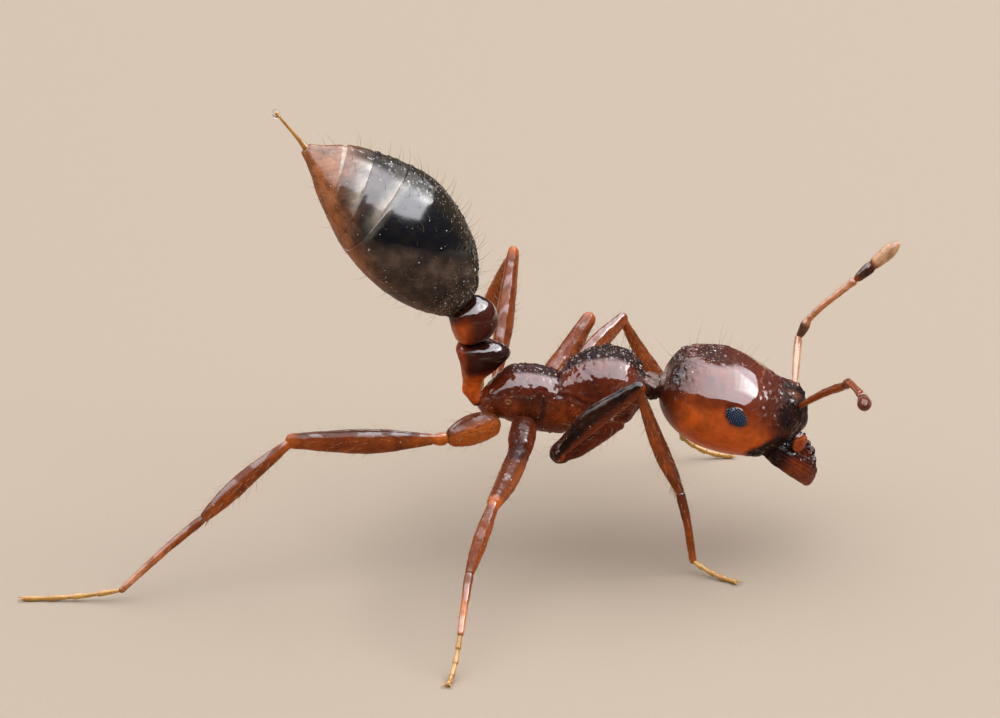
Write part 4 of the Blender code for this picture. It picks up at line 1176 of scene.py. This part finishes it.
def makePetiole():
    shell = waistShell("petiole", 200, (0.06, 0.12))
    shell.bump(*waistShape["tooth"])
    knot = ramp(shell.tGrid, 0.46, 0.64)
    under = ramp(shell.rise, 0.1, -0.7)
    shell.mark(thin=np.clip(0.85 * (1 - knot) * ramp(shell.tGrid, 0.02, 0.12) + 0.35 * under * knot, 0, 1),
               edge=np.clip(0.80 * knot * ramp(shell.rise, -0.6, 0.5) + 0.7 * ramp(shell.tGrid, 0.94, 1.0)
                            + 0.5 * ramp(shell.tGrid, 0.10, 0.02), 0, 0.95),
               dusty=0.4, pitted=0.15 + 0.25 * knot, uneven=0.5 + 0.3 * knot,
               matte=0.85 * ramp(shell.rise, 0.45, -0.1), linePhase=shell.tGrid * 26,
               lineDepth=0.4 * (1 - knot), bristle=0.35 * knot * ramp(shell.rise, 0.2, 0.8) + 0.03,
               bristleSize=0.7)
    shell.lay((0.2, 0, 0.9))
    finish("petiole_shell", shell, "redShell", ["petiole"], "thorax")


def makePostpetiole():
    shell = waistShell("postpetiole", 160, (0.18, 0.18))
    under = ramp(shell.rise, 0.35, -0.35)
    shell.mark(thin=np.clip(0.05 + 0.80 * under * ramp(shell.tGrid, 0.78, 0.50)
                            * ramp(shell.tGrid, 0.05, 0.2), 0, 1),
               edge=np.clip(0.55 * ramp(shell.rise, -0.2, 0.6)
                            + 0.85 * ramp(shell.tGrid, 0.72, 0.88), 0, 0.95),
               dusty=0.55, pitted=0.25, uneven=0.5, bristle=0.25 * ramp(shell.rise, 0.2, 0.8) + 0.03,
               bristleSize=0.7)
    shell.lay((-0.2, 0, 0.9))
    finish("postpetiole_shell", shell, "redShell", ["postpetiole"], "thorax")


makePetiole()
makePostpetiole()
print("waist ready")

gasterShape = {
    "at": (-0.033, 0.0, 1.88), "rise": 46.6, "length": 1.63,
    "outline": [
        (0.000, 0.175, 0.130, 0.165, 0.0), (0.085, 0.315, 0.215, 0.285, 0.0),
        (0.165, 0.400, 0.270, 0.365, 0.0), (0.265, 0.462, 0.313, 0.430, 0.0),
        (0.370, 0.500, 0.330, 0.460, 0.0), (0.480, 0.513, 0.327, 0.456, 0.0),
        (0.590, 0.472, 0.300, 0.412, 0.0), (0.705, 0.397, 0.240, 0.332, 0.0),
        (0.815, 0.312, 0.172, 0.238, 0.0), (0.895, 0.216, 0.108, 0.152, 0.0),
        (0.960, 0.105, 0.062, 0.082, 0.0), (1.000, 0.055, 0.040, 0.048, 0.0),
    ],
    "edges": [(0.0, 0.0), (0.95, 0.13), (1.11, 0.42), (1.30, 0.55), (1.63, 0.0)],
    "rows": (190, 70, 70, 90), "sides": 240, "tuck": 0.05, "sunk": 0.006,  # tucked under the plate before
    "lip": 0.0018, "rolled": 0.004, "lineTilt": (0.9, 0.5), "lineStep": 0.030,
    "bands": ((0.110, -0.010, 0.0), (0.110, -0.010, 0.75), (0.115, -0.010, 0.75), (0.020, 0.004, 0.4)),
}  # a pale band's reach from the plate before, where it starts to fade, and its strength


def gasterPlate(number):
    # one plate between two leaning edges; it starts tucked under the plate before it
    s = gasterShape
    (start, startLean), (end, endLean) = s["edges"][number - 1], s["edges"][number]
    rows, sides = s["rows"][number - 1], s["sides"]
    tuck = s["tuck"] if number > 1 else 0.0
    shell = Shell([(0, 0, 0), (1, 0, 0)], lambda t: np.ones((len(t), 4)), rows + 1, sides, (0.01, 0.01))
    t = np.arange(1, rows + 1) / rows
    if number == 1:
        t = 1 - np.cos(math.pi / 2 * t)
    angle = shell.angle
    distance = (start - tuck) + (end - start + tuck) * t
    lean = startLean + (endLean - startLean) * t
    at = np.repeat(distance[:, None], sides, axis=1)
    for _ in range(5):
        share = np.clip(at.ravel() / s["length"], 0, 1)
        high, low, wide, _middle = curveThrough(s["outline"], share).T.reshape(4, rows, sides)
        rise = np.sin(angle)[None, :] * np.where(np.sin(angle)[None, :] > 0, high, low)
        at = distance[:, None] + lean[:, None] * rise
    shell.grid = np.stack([at, np.cos(angle)[None, :] * wide, rise], -1)
    shell.t, shell.tGrid = t, np.repeat(t[:, None], sides, axis=1)
    shell.rise = np.repeat(np.sin(angle)[None, :], rows, axis=0)
    shell.poles = [np.array([start - tuck, 0, 0.0]), np.array([end, 0, 0.0])]
    return shell


gasterRise = math.radians(gasterShape["rise"])
gasterTurn = aimed((-math.cos(gasterRise), 0, math.sin(gasterRise)),
                   up=(math.sin(gasterRise), 0, math.cos(gasterRise)))


def makeGaster():
    s, turn = gasterShape, gasterTurn
    for number, (reach, fade, strength) in enumerate(s["bands"], 1):
        shell = gasterPlate(number)
        radial = unit(shell.grid * np.array([0, 1, 1]))
        along = shell.grid[..., 0] - shell.grid[0:1, :, 0]  # how far behind its front edge
        toEnd = shell.grid[-1:, :, 0] - shell.grid[..., 0]
        underneath = ramp(along, s["tuck"] + 0.012, s["tuck"] - 0.01) if number > 1 else np.zeros(along.shape)
        shell.grid = shell.grid - radial * (s["sunk"] * underneath)[..., None]
        if number < 4:
            fold = s["lip"] * ramp(toEnd, 0.05, 0.012) - s["rolled"] * ramp(toEnd, 0.008, 0.0)
            shell.grid = shell.grid + radial * fold[..., None]
        x, z = shell.x.copy(), shell.z.copy()
        belly = ramp(shell.rise, -0.25, -0.80)
        flank = ramp(shell.rise, -0.50, 0.15)  # 1 from the middle of the side upwards
        behind = ramp(x, 0.95, 1.30)
        tail = ramp(x, 1.22, 1.46)
        root = ramp(x, 0.34, 0.08)
        back = ramp(shell.rise, 0.80, 0.93) * ramp(x, 1.50, 1.25)
        shell.lay(turn @ np.array([0.9, 0, 0.0]))
        shell.place(s["at"], turn)
        dull = ramp(shell.normals()[..., 2], 0.20, 0.08)  # the lower half, facing the floor: waxy, rougher and dustier, and painted paler and warmer as a painted dull reflection of the floor
        # the pale bands are the plates' translucent margins, painted pale as lit through, and only on the
        # upper flank below the back, where the highlight falls; the pale rim of the first plate and the paler
        # rear flanks are painted highlight the same way
        band = ramp(along, s["tuck"] + reach, s["tuck"] + fade) * ramp(shell.rise, -0.15, 0.30)
        band = band * (1 - 0.8 * back) * strength
        rim = ramp(toEnd, 0.06, 0.01) * (number == 1)
        band = np.clip(band + 0.30 * rim * flank * (1 - back), 0, 1)
        shell.mark(pale=np.clip(band + 0.10 * behind * flank * (1 - back) + 0.060 * dull, 0, 1),
                   thin=np.clip(0.95 * tail * ramp(shell.rise, 0.72, 0.25) + 0.35 * tail
                                + 0.80 * belly * ramp(x, 0.45, 1.0) + 0.55 * behind
                                * ramp(shell.rise, 0.25, -0.35) + 0.16 * behind + 0.14 * belly
                                + 0.07 * dull, 0, 1),
                   edge=np.clip(0.9 * back * ramp(x, 1.6, 1.4), 0, 1) * (1 - band),
                   dusty=np.clip(0.52 + 0.40 * root + 0.35 * back + 0.15 * dull, 0, 1) * (1 - 0.7 * band),
                   pitted=np.clip(0.10 + 0.75 * root + 0.45 * dull + 0.6 * back, 0, 1),
                   knobbly=np.clip(0.6 * root + 0.5 * back, 0, 1),
                   uneven=np.clip(0.24 + 0.3 * root + 0.3 * dull + 0.10 * behind, 0, 1),
                   matte=np.clip(0.45 * root + 0.7 * dull + 0.12 * behind + 0.40 * tail
                                 + 0.80 * back, 0, 0.97),
                   linePhase=(x * s["lineTilt"][0] + z * s["lineTilt"][1]) / s["lineStep"],
                   lineDepth=0.25 * behind)
        top = ramp(shell.rise, 0.2, 0.8)
        shell.mark(bristle=np.clip(0.16 + 0.84 * top + 0.15 * belly + 0.4 * root, 0, 1) * (1 - underneath)
                   * (ramp(toEnd, 0.0, 0.02) if number < 4 else 1),
                   bristleSize=0.75 + 0.25 * top)
        finish("gaster_plate_%d" % number, shell, "blackShell", ["gaster_%d" % number],
               "gaster")


makeGaster()

stingShape = {
    "at": (1.58, 0, 0.006), "length": 0.40, "radius": 0.026, "rise": 51.0,
    "outline": [(0.0, 1.40), (0.10, 1.15), (0.22, 0.80), (0.38, 0.52), (1.0, 0.32)],
    "dropRadius": 0.030, "dropReach": 0.0375, "dropSunk": 0.4,  # as a share of the drop's radius
}


def makeSting():
    s = stingShape
    tilt = math.radians(s["rise"] - gasterShape["rise"])
    way = np.array([math.cos(tilt), 0, math.sin(tilt)])
    stingTurn = gasterTurn @ aimed(way)
    base = np.array(gasterShape["at"]) + gasterTurn @ np.array(s["at"])
    shell = Shell([(0, 0, 0), (s["length"], 0, 0)], roundOutline(s["outline"], s["radius"]), 90, 32,
                  (0.02, 0.02))
    shell.mark(edge=0.10 + 0.3 * ramp(shell.tGrid, 0.16, 0.02), thin=0.3 + 0.5 * shell.tGrid,
               linePhase=shell.tGrid * 20, lineDepth=0.5 * ramp(shell.tGrid, 0.3, 0.1))
    finish("sting_shaft", shell.place(base, stingTurn), "goldenShell", ["sting"])
    tip = base + stingTurn @ np.array([s["length"] - s["dropRadius"] * s["dropSunk"], 0, 0])
    drop = egg((s["dropReach"], s["dropRadius"], s["dropRadius"]), 60, 48).place(tip, stingTurn)
    liquid = meshFrom("venom_drop_liquid", [drop])
    piece("venom_drop_liquid", liquid, materials["venom"], ["venom_drop"])


def venomMaterial():
    material, tree, shader = newMaterial("venom")
    place = add(tree, "ShaderNodeTexCoord").outputs["Object"]
    noise = add(tree, "ShaderNodeTexNoise", {"Vector": place, "Scale": 20000.0, "Detail": 1.0})
    colour = blendColour(tree, noise.outputs["Fac"], (0.93, 0.95, 0.92, 1), (1.0, 0.98, 0.93, 1))
    tree.links.new(colour, shader.inputs["Base Color"])
    setInputs(shader, {"Roughness": 0.02, "IOR": 1.36, "Transmission Weight": 1.0})
    return material


materials["venom"] = venomMaterial()
makeSting()
print("gaster ready")

legShape = {
    "sizes": {
        "front": {"lengths": (0.57, 0.87, 0.84, 0.55, 0.41), "radii": (0.115, 0.084, 0.060, 0.036, 0.024),
                  "bows": (0.02, 0.05, -0.02, 0.01), "outset": 0.055},
        "mid": {"lengths": (0.34, 0.88, 0.69, 0.56, 0.48), "radii": (0.105, 0.084, 0.058, 0.033, 0.024),
                "bows": (0.01, -0.03, 0.012, 0.01), "outset": 0.0},
        "hind": {"lengths": (0.39, 1.20, 0.84, 0.80, 0.73), "radii": (0.112, 0.092, 0.068, 0.034, 0.024),
                 "bows": (0.015, -0.012, 0.015, 0.01), "outset": 0.0},
    },
    "roots": {"front": (1.16, 0.19, 1.09), "mid": (0.44, 0.17, 1.01), "hind": (0.26, 0.16, 1.01)},
    "poses": {
        "right_front": [(160, -27), (13, 44), (4, -69), (2, -80), 37],
        "right_mid": [(96, -14), (102, -4), (107, -28), (97.5, -29.5), 103],
        "right_hind": [(153, -8), (163, 5.5), (158, -36), (161, -37.5), 180],
        "left_front": [(142, -15), (54, 25), (25, -58), (80, -50), 3],
        "left_mid": [(84, -14), (56, 28), (109, -50), (88, -60), 82],
        "left_hind": [(97, -12), (80, 45), (130, -63), (90, -58), 80],
    },
    "outlines": [
        [(0.0, 0.90), (0.30, 1.0), (0.60, 0.98), (0.85, 0.72), (1.0, 0.50)],
        [(0.0, 0.42), (0.05, 0.56), (0.10, 0.46), (0.22, 0.66), (0.40, 0.96), (0.56, 1.0), (0.80, 0.79),
         (1.0, 0.57)],
        [(0.0, 0.50), (0.08, 0.57), (0.30, 0.80), (0.60, 1.0), (0.84, 0.80), (1.0, 0.48)],
        [(0.0, 0.78), (0.08, 1.0), (0.50, 0.85), (0.92, 0.74), (1.0, 0.66)],
    ],
    "special": {  # outlines and flatness that belong to one pair
        ("mid", "coxa"): ([(0.0, 0.90), (0.30, 1.0), (0.60, 0.97), (0.85, 0.84), (1.0, 0.74)], 0.95),
        ("mid", "femur"): ([(0.0, 0.84), (0.05, 0.98), (0.10, 0.95), (0.22, 1.0), (0.40, 0.98), (0.56, 0.93),
                            (0.80, 0.76), (1.0, 0.62)], 0.98),
        ("mid", "tibia"): ([(0.0, 0.70), (0.08, 0.78), (0.30, 0.92), (0.55, 1.0), (0.82, 0.80), (1.0, 0.52)],
                           0.95),
        ("front", "coxa"): ([(0.0, 0.60), (0.14, 0.86), (0.32, 1.0), (0.60, 0.98), (0.85, 0.74),
                             (1.0, 0.52)], 0.95),
        ("hind", "coxa"): ([(0.0, 0.44), (0.15, 0.80), (0.40, 1.0), (0.65, 0.96), (0.86, 0.70), (1.0, 0.46)],
                           0.95),
    },
    "flatness": (0.95, 0.74, 0.88, 1.0), "rows": (90, 150, 110, 70), "rowSides": (72, 64, 48, 40),
    "slots": ("red_shell", "amber_shell", "amber_shell", "golden_shell"), "darkEnds": (0.35, 0.0, 0.1, 0.35),
    "bristle": (0.3, 0.6, 0.8, 0.8), "bristleSize": (0.9, 0.8, 0.85, 0.7),
    "coxaMatte": {"front": 0.45, "mid": 0.75, "hind": 0.45}, "midMatte": 0.62, "coxaLineStep": 0.024,
    "ringAt": 0.10, "ringDepth": 0.006, "ringWidth": 0.008,  # the waist between trochanter and femur
    "footCurl": 2.2, "footSink": 0.8, "footLeastRun": 0.3,
    "clawLength": 0.055, "clawRadius": 0.0075,
    "spurLength": 0.075, "spurRadius": 0.0075, "spurBack": 0.02,  # how far before the end of the tibia
    "combHairs": 7, "combLength": 0.085, "combRadius": 0.0035,  # the cleaning comb on each front leg
    # by segment: how dark the top is, as painted shade set leg by leg; how much light the shell lets through,
    # painted as a warm glow; how streaky its gloss is
    "shade": {"right_front": (0.55, 0.92, 0.62, 0.3), "left_front": (0.5, 0.35, 0.2, 0.1),
              "right_mid": (0.60, 0.62, 0.40, 0.1), "left_mid": (0.3, 0.3, 0.2, 0.1),
              "right_hind": (0.75, 0.72, 0.50, 0.2), "left_hind": (0.3, 0.2, 0.2, 0.1)},
    "glow": {"front": (0.12, 0.25, 0.18, 0.35), "mid": (0.10, 0.25, 0.35, 0.35),
             "hind": (0.70, 0.22, 0.30, 0.40)},
    "streaky": {"front": (0.5, 0.5, 0.30, 0.7), "mid": (0.85, 0.85, 0.85, 0.7),
                "hind": (0.85, 0.80, 0.85, 0.7)},
}
segmentNames = ("coxa", "femur", "tibia", "basitarsus")


def thorn(start, way, bend, length, radius):
    # a small curved spine: a spur or a claw
    way, bend = unit(np.array(way, float)), np.array(bend, float)
    path = [np.array(start), np.array(start) + way * length * 0.5 + bend * length * 0.10,
            np.array(start) + way * length * 0.9 + bend * length * 0.45]
    up = (0, 0, 1) if abs(way[2]) < 0.9 else (1, 0, 0)
    shell = Shell(path, roundOutline([(0.0, 1.0), (0.4, 0.75), (1.0, 0.16)], radius), 14, 10, (0.06, 0.06),
                  up=up)
    shell.mark(thin=0.6, edge=0.5 * ramp(shell.tGrid, 0.5, 1.0))
    return shell


def footPath(start, way, length, radius):
    s = legShape
    height = start[2]
    run = math.sqrt(max(length**2 - height**2, (s["footLeastRun"] * length) ** 2))
    path = []
    for share in (0.0, 0.25, 0.5, 0.75, 1.0):
        drop = (height - radius * s["footSink"]) * (1 - (1 - share) ** s["footCurl"])
        path.append(start + np.array([way[0] * run * share, way[1] * run * share, -drop]))
    return path


def tarsomereOutline(radius):
    # four short segments, each a cone that widens to its end
    def outline(t):
        share = (t * 4) % 1.0
        size = radius * (0.62 + 0.38 * share**1.2) * (1 - 0.30 * ramp(share, 0.90, 1.0))
        return ringSizes(size)
    return outline


def isFolded(name):
    # a femur against the body, painted in shade: darker, as no light comes through it
    return legShape["shade"][name][1] > 0.9


def legMarks(shell, name, i):
    s, pair = legShape, name.split("_")[1]
    side = 1 if name.startswith("left") else -1
    limbMasks(shell, darkTop=s["shade"][name][i], darkEnds=s["darkEnds"][i], thin=s["glow"][pair][i],
              bristle=s["bristle"][i], size=s["bristleSize"][i], streaky=s["streaky"][pair][i])
    if i in (1, 2) and pair != "front":  # paler at the knee and next to the body
        base = ramp(shell.tGrid, 0.26, 0.06) * (pair == "hind" or side > 0)
        ends = ramp(shell.tGrid, 0.90, 0.98) + base if i == 1 else ramp(shell.tGrid, 0.16, 0.02)
        shell.mark(thin=np.clip(shell.masks["thin"] + 0.55 * ends, 0, 1),
                   edge=shell.masks["edge"] * (1 - 0.7 * ends))
    if i == 0:
        shell.mark(linePhase=shell.z / s["coxaLineStep"], lineDepth=0.2, matte=s["coxaMatte"][pair],
                   pitted=0.8)
        if pair == "front":
            shell.mark(edge=np.clip(shell.masks["edge"] + 0.20, 0, 0.95))
    if i == 1:  # the trochanter, a golden bead before the femur
        ring = shell.tGrid - s["ringAt"]
        shell.push(-s["ringDepth"] * np.exp(-(ring / s["ringWidth"]) ** 2))
        if pair != "mid" or side > 0:
            shell.mark(thin=np.clip(shell.masks["thin"] + 0.4 * ramp(shell.tGrid, 0.11, 0.08), 0, 1))
        else:  # the near one is as dark there as its coxa
            shell.mark(edge=np.clip(shell.masks["edge"] + 0.55 * ramp(shell.tGrid, 0.34, 0.10), 0, 0.9))
        if isFolded(name):
            # painted shade over the folded femur, darkest on top
            shell.mark(edge=np.clip(0.32 + 0.63 * ramp(shell.rise, -0.85, 0.0), 0, 0.95)
                       * (1 - 0.5 * ramp(shell.tGrid, 0.75, 1.0) * ramp(shell.rise, 0.3, -0.3)))
            shell.masks["uneven"] *= 0.4
    if pair == "mid" and i in (1, 2):
        shell.mark(matte=s["midMatte"])
    if i == 3:
        shell.mark(thin=0.05 + 0.6 * shell.tGrid)
        if side < 0 and pair != "front":  # red beside the tibia, golden toward the foot
            shell.mark(thin=0.30 + 0.6 * shell.tGrid, pale=0.30 * ramp(shell.tGrid, 0.30, 1.0))
        shell.mark(edge=np.clip(shell.masks["edge"] + 0.35 * ramp(shell.tGrid, 0.5, 0.0), 0, 0.9))


def spurs(joint, way, length, radius, pair):
    # the spur at the end of a tibia, and the cleaning comb of a front leg
    s = legShape
    tip = joint + way * (length - s["spurBack"])
    under = unit(np.cross(np.cross(way, (0, 0, 1)), way)) * -1
    made = [thorn(tip + under * radius * 0.5, way + under * 0.35, under * 0.2, s["spurLength"],
                  s["spurRadius"])]
    for hair in range(s["combHairs"] if pair == "front" else 0):
        lean = hair / (s["combHairs"] - 1)
        start = tip + under * radius * (0.35 + 0.25 * lean) - way * 0.05 * lean
        made.append(thorn(start, way + under * (0.2 + 0.5 * lean), under * 0.1, s["combLength"],
                          s["combRadius"]))
    for part in made:
        part.mark(pale=0.9)
    return made


def makeFoot(name, joint, way, length, radius):
    s = legShape
    path = footPath(joint, way, length, radius)
    shell = Shell(path, tarsomereOutline(radius), 120, 32, (0.06, 0.07))
    limbMasks(shell, darkTop=0.1, darkEnds=0.1, thin=0.65, size=0.5, uneven=0.5)
    shell.mark(bristle=shell.masks["bristle"] * ramp(shell.rise, -0.3, 0.2))
    shell.lay(way)
    across, down = unit(np.cross(way, (0, 0, 1))), (way[0] * 0.3, way[1] * 0.3, -0.9)
    claws = []
    for lean in (1, -1):
        start = path[-1] - way * 0.010 + across * lean * 0.009
        spread = way * 0.8 + across * lean * 0.75 + np.array([0, 0, 0.35])
        claws.append(thorn(start, spread, down, s["clawLength"], s["clawRadius"]))
    finish(name + "_foot_shell", shell, "goldenShell", [name + "_foot"], "legs", claws)


def makeLeg(name):
    s = legShape
    side = 1 if name.startswith("left") else -1
    pair = name.split("_")[1]
    lengths, radii, bows, outset = s["sizes"][pair].values()
    *turns, footTurn = s["poses"][name]
    x, y, z = s["roots"][pair]
    joint = np.array([x, side * y, z])
    # a folded femur takes the darker red material, as painted shade
    looks = ("amberShell" if pair == "hind" else "redShell", "redShell" if isFolded(name) else "amberShell",
             "amberShell", "amberShell" if side < 0 else "goldenShell")
    for i, label in enumerate(segmentNames):
        way = heading(side, *turns[i])
        knots, flatness = s["special"].get((pair, label), (s["outlines"][i], s["flatness"][i]))
        end = radii[i] * knots[-1][1]
        total = lengths[i] + end
        shell = Shell([(0, 0, 0), (lengths[i] * 0.5, 0, bows[i]), (total, 0, 0)],
                      roundOutline(knots, radii[i], flatness), s["rows"][i], s["rowSides"][i],
                      (end / total, end / total))
        legMarks(shell, name, i)
        shell.place(joint, aimed(way))
        shell.lay(way)
        more = spurs(joint, way, lengths[i], radii[i], pair) if label == "tibia" else []
        finish("%s_%s_shell" % (name, label), shell, looks[i], ["%s_%s" % (name, label)],
               "legs", more)
        joint = joint + way * lengths[i]
        if i == 0:
            joint = joint + np.array([0, side * outset, 0]) + way * end * 0.5
    makeFoot(name, joint, heading(side, footTurn, 0), lengths[4], radii[4])


for legName in legShape["poses"]:
    makeLeg(legName)
print("legs ready")

coats = {  # spacing, length and thickness in millimetres
    "head": {"Spacing": 0.125, "Length": 0.24, "Spread": 0.6, "Root Radius": 0.0019, "Bend": 0.12,
             "Lean": 0.0},
    "antennae": {"Spacing": 0.034, "Length": 0.09, "Spread": 0.4, "Root Radius": 0.0014, "Bend": 0.2,
                 "Lean": 1.2},
    "thorax": {"Spacing": 0.085, "Length": 0.16, "Spread": 0.5, "Root Radius": 0.0021, "Bend": 0.2,
               "Lean": 0.2},
    "gaster": {"Spacing": 0.105, "Length": 0.15, "Spread": 0.45, "Root Radius": 0.0022, "Bend": 0.30,
               "Lean": 0.35},
    "legs": {"Spacing": 0.050, "Length": 0.105, "Spread": 0.45, "Root Radius": 0.0022, "Bend": 0.15,
             "Lean": 0.9},
}


coatDensity = 1e11  # bristles in a square metre; so dense that their spacing decides how many grow


def growCoat(number, name):
    s = coats[name]
    carrier = meshFrom(name + "_carrier", carriers[name])
    settings = {key: s[key] * (mm if key in ("Spacing", "Length", "Root Radius") else 1) for key in s}
    settings["Density"] = coatDensity
    settings["Seed"] = 3 + number
    grown(name + "_bristles", bristles, carrier, settings, materials["bristleHorn"], "golden_shell")


for number, coatName in enumerate(coats):
    growCoat(number, coatName)
print("bristles ready")

studio = {
    "distance": 80.0, "elevation": 20.0, "lens": 394.6, "sensor": 36.0, "aim": (0.259, 0.0, 1.445),
    "softboxEdges": (-190, -150, -122, -96, -70, -46, -22, 2, 26), "softboxEnd": 76, "softboxFirst": 0.80,
    "softboxStep": 0.32, "softboxDepth": (-75, 102), "keySizes": ((38, 64), (31, 52), (25, 41), (19, 31)),
    "keyStep": 1.7, "softboxHeight": 62, "keyHeight": 60.5, "sheetGap": 0.1, "keyEnd": 76, "keyAcross": 18,
    "softboxColour": (0.95, 0.95, 1.0), "keyColour": (1.0, 0.99, 0.97),
    "worldColour": (0.035, 0.035, 0.04, 1), "backdropColour": (0.80, 0.74, 0.66, 1),
    "floorSize": 600.0, "floorColour": (0.315, 0.256, 0.190),
}


def makeFloor():
    half = studio["floorSize"] / 2 * mm
    mesh = bpy.data.meshes.new("floor")
    mesh.from_pydata([(-half, -half, 0), (half, -half, 0), (half, half, 0), (-half, half, 0)], [],
                     [(0, 1, 2, 3)])
    mesh.materials.append(plainMaterial("floorPaper", studio["floorColour"], 0.9, grain=40.0, contrast=0.04))
    stand("floor", mesh)


def panel(name, at, size, radiance, colour, aim=(0, 0, 1.2)):
    # a soft light at a place in millimetres, facing the ant; radiance is its brightness
    light = bpy.data.lights.new(name, "AREA")
    light.shape = "RECTANGLE"
    light.size, light.size_y = size[0] * mm, size[1] * mm
    light.energy = radiance * math.pi * size[0] * size[1] * mm * mm
    light.color = colour
    lamp = stand(name, light)
    lamp.location = [c * mm for c in at]
    toward = Vector(aim) * mm - lamp.location
    lamp.rotation_mode = "QUATERNION"
    lamp.rotation_quaternion = toward.to_track_quat("-Z", "Y")


def makeStudio():
    s = studio
    front, back = s["softboxDepth"]
    centre, depth = (front + back) / 2, back - front
    # overlapping sheets, so that it brightens toward the head
    for step, edge in enumerate(s["softboxEdges"]):
        middle, width = (edge + s["softboxEnd"]) / 2, s["softboxEnd"] - edge
        panel("overheadSoftbox_%d" % step, (middle, centre, s["softboxHeight"] - s["sheetGap"] * step),
              (width, depth), s["softboxFirst"] if step == 0 else s["softboxStep"], s["softboxColour"],
              aim=(middle, centre, 0))
    for step, (width, depth) in enumerate(s["keySizes"]):
        middle = s["keyEnd"] - width / 2
        panel("keySoftbox_%d" % step, (middle, s["keyAcross"], s["keyHeight"] - s["sheetGap"] * step),
              (width, depth), s["keyStep"], s["keyColour"], aim=(middle, s["keyAcross"], 0))
    world = bpy.data.worlds.new("studio")
    bpy.context.scene.world = world
    world.use_nodes = True
    tree = world.node_tree
    background = tree.nodes["Background"]
    seen = add(tree, "ShaderNodeLightPath").outputs["Is Camera Ray"]
    colour = blendColour(tree, seen, s["worldColour"], s["backdropColour"])
    tree.links.new(colour, background.inputs["Color"])


def makeCamera():
    s = studio
    camera = bpy.data.cameras.new("camera")
    camera.lens, camera.sensor_width = s["lens"], s["sensor"]
    camera.clip_start, camera.clip_end = 0.001, 10.0
    thing = stand("camera", camera)
    rise = math.radians(s["elevation"])
    aim = np.array(s["aim"]) + antShift
    away = np.array([0, -math.cos(rise), math.sin(rise)]) * s["distance"]
    thing.location = (aim + away) * mm
    thing.rotation_euler = (math.pi / 2 - rise, 0, 0)
    bpy.context.scene.camera = thing


makeFloor()
makeStudio()
makeCamera()
bpy.context.scene.view_settings.view_transform = "Standard"
print("studio ready")
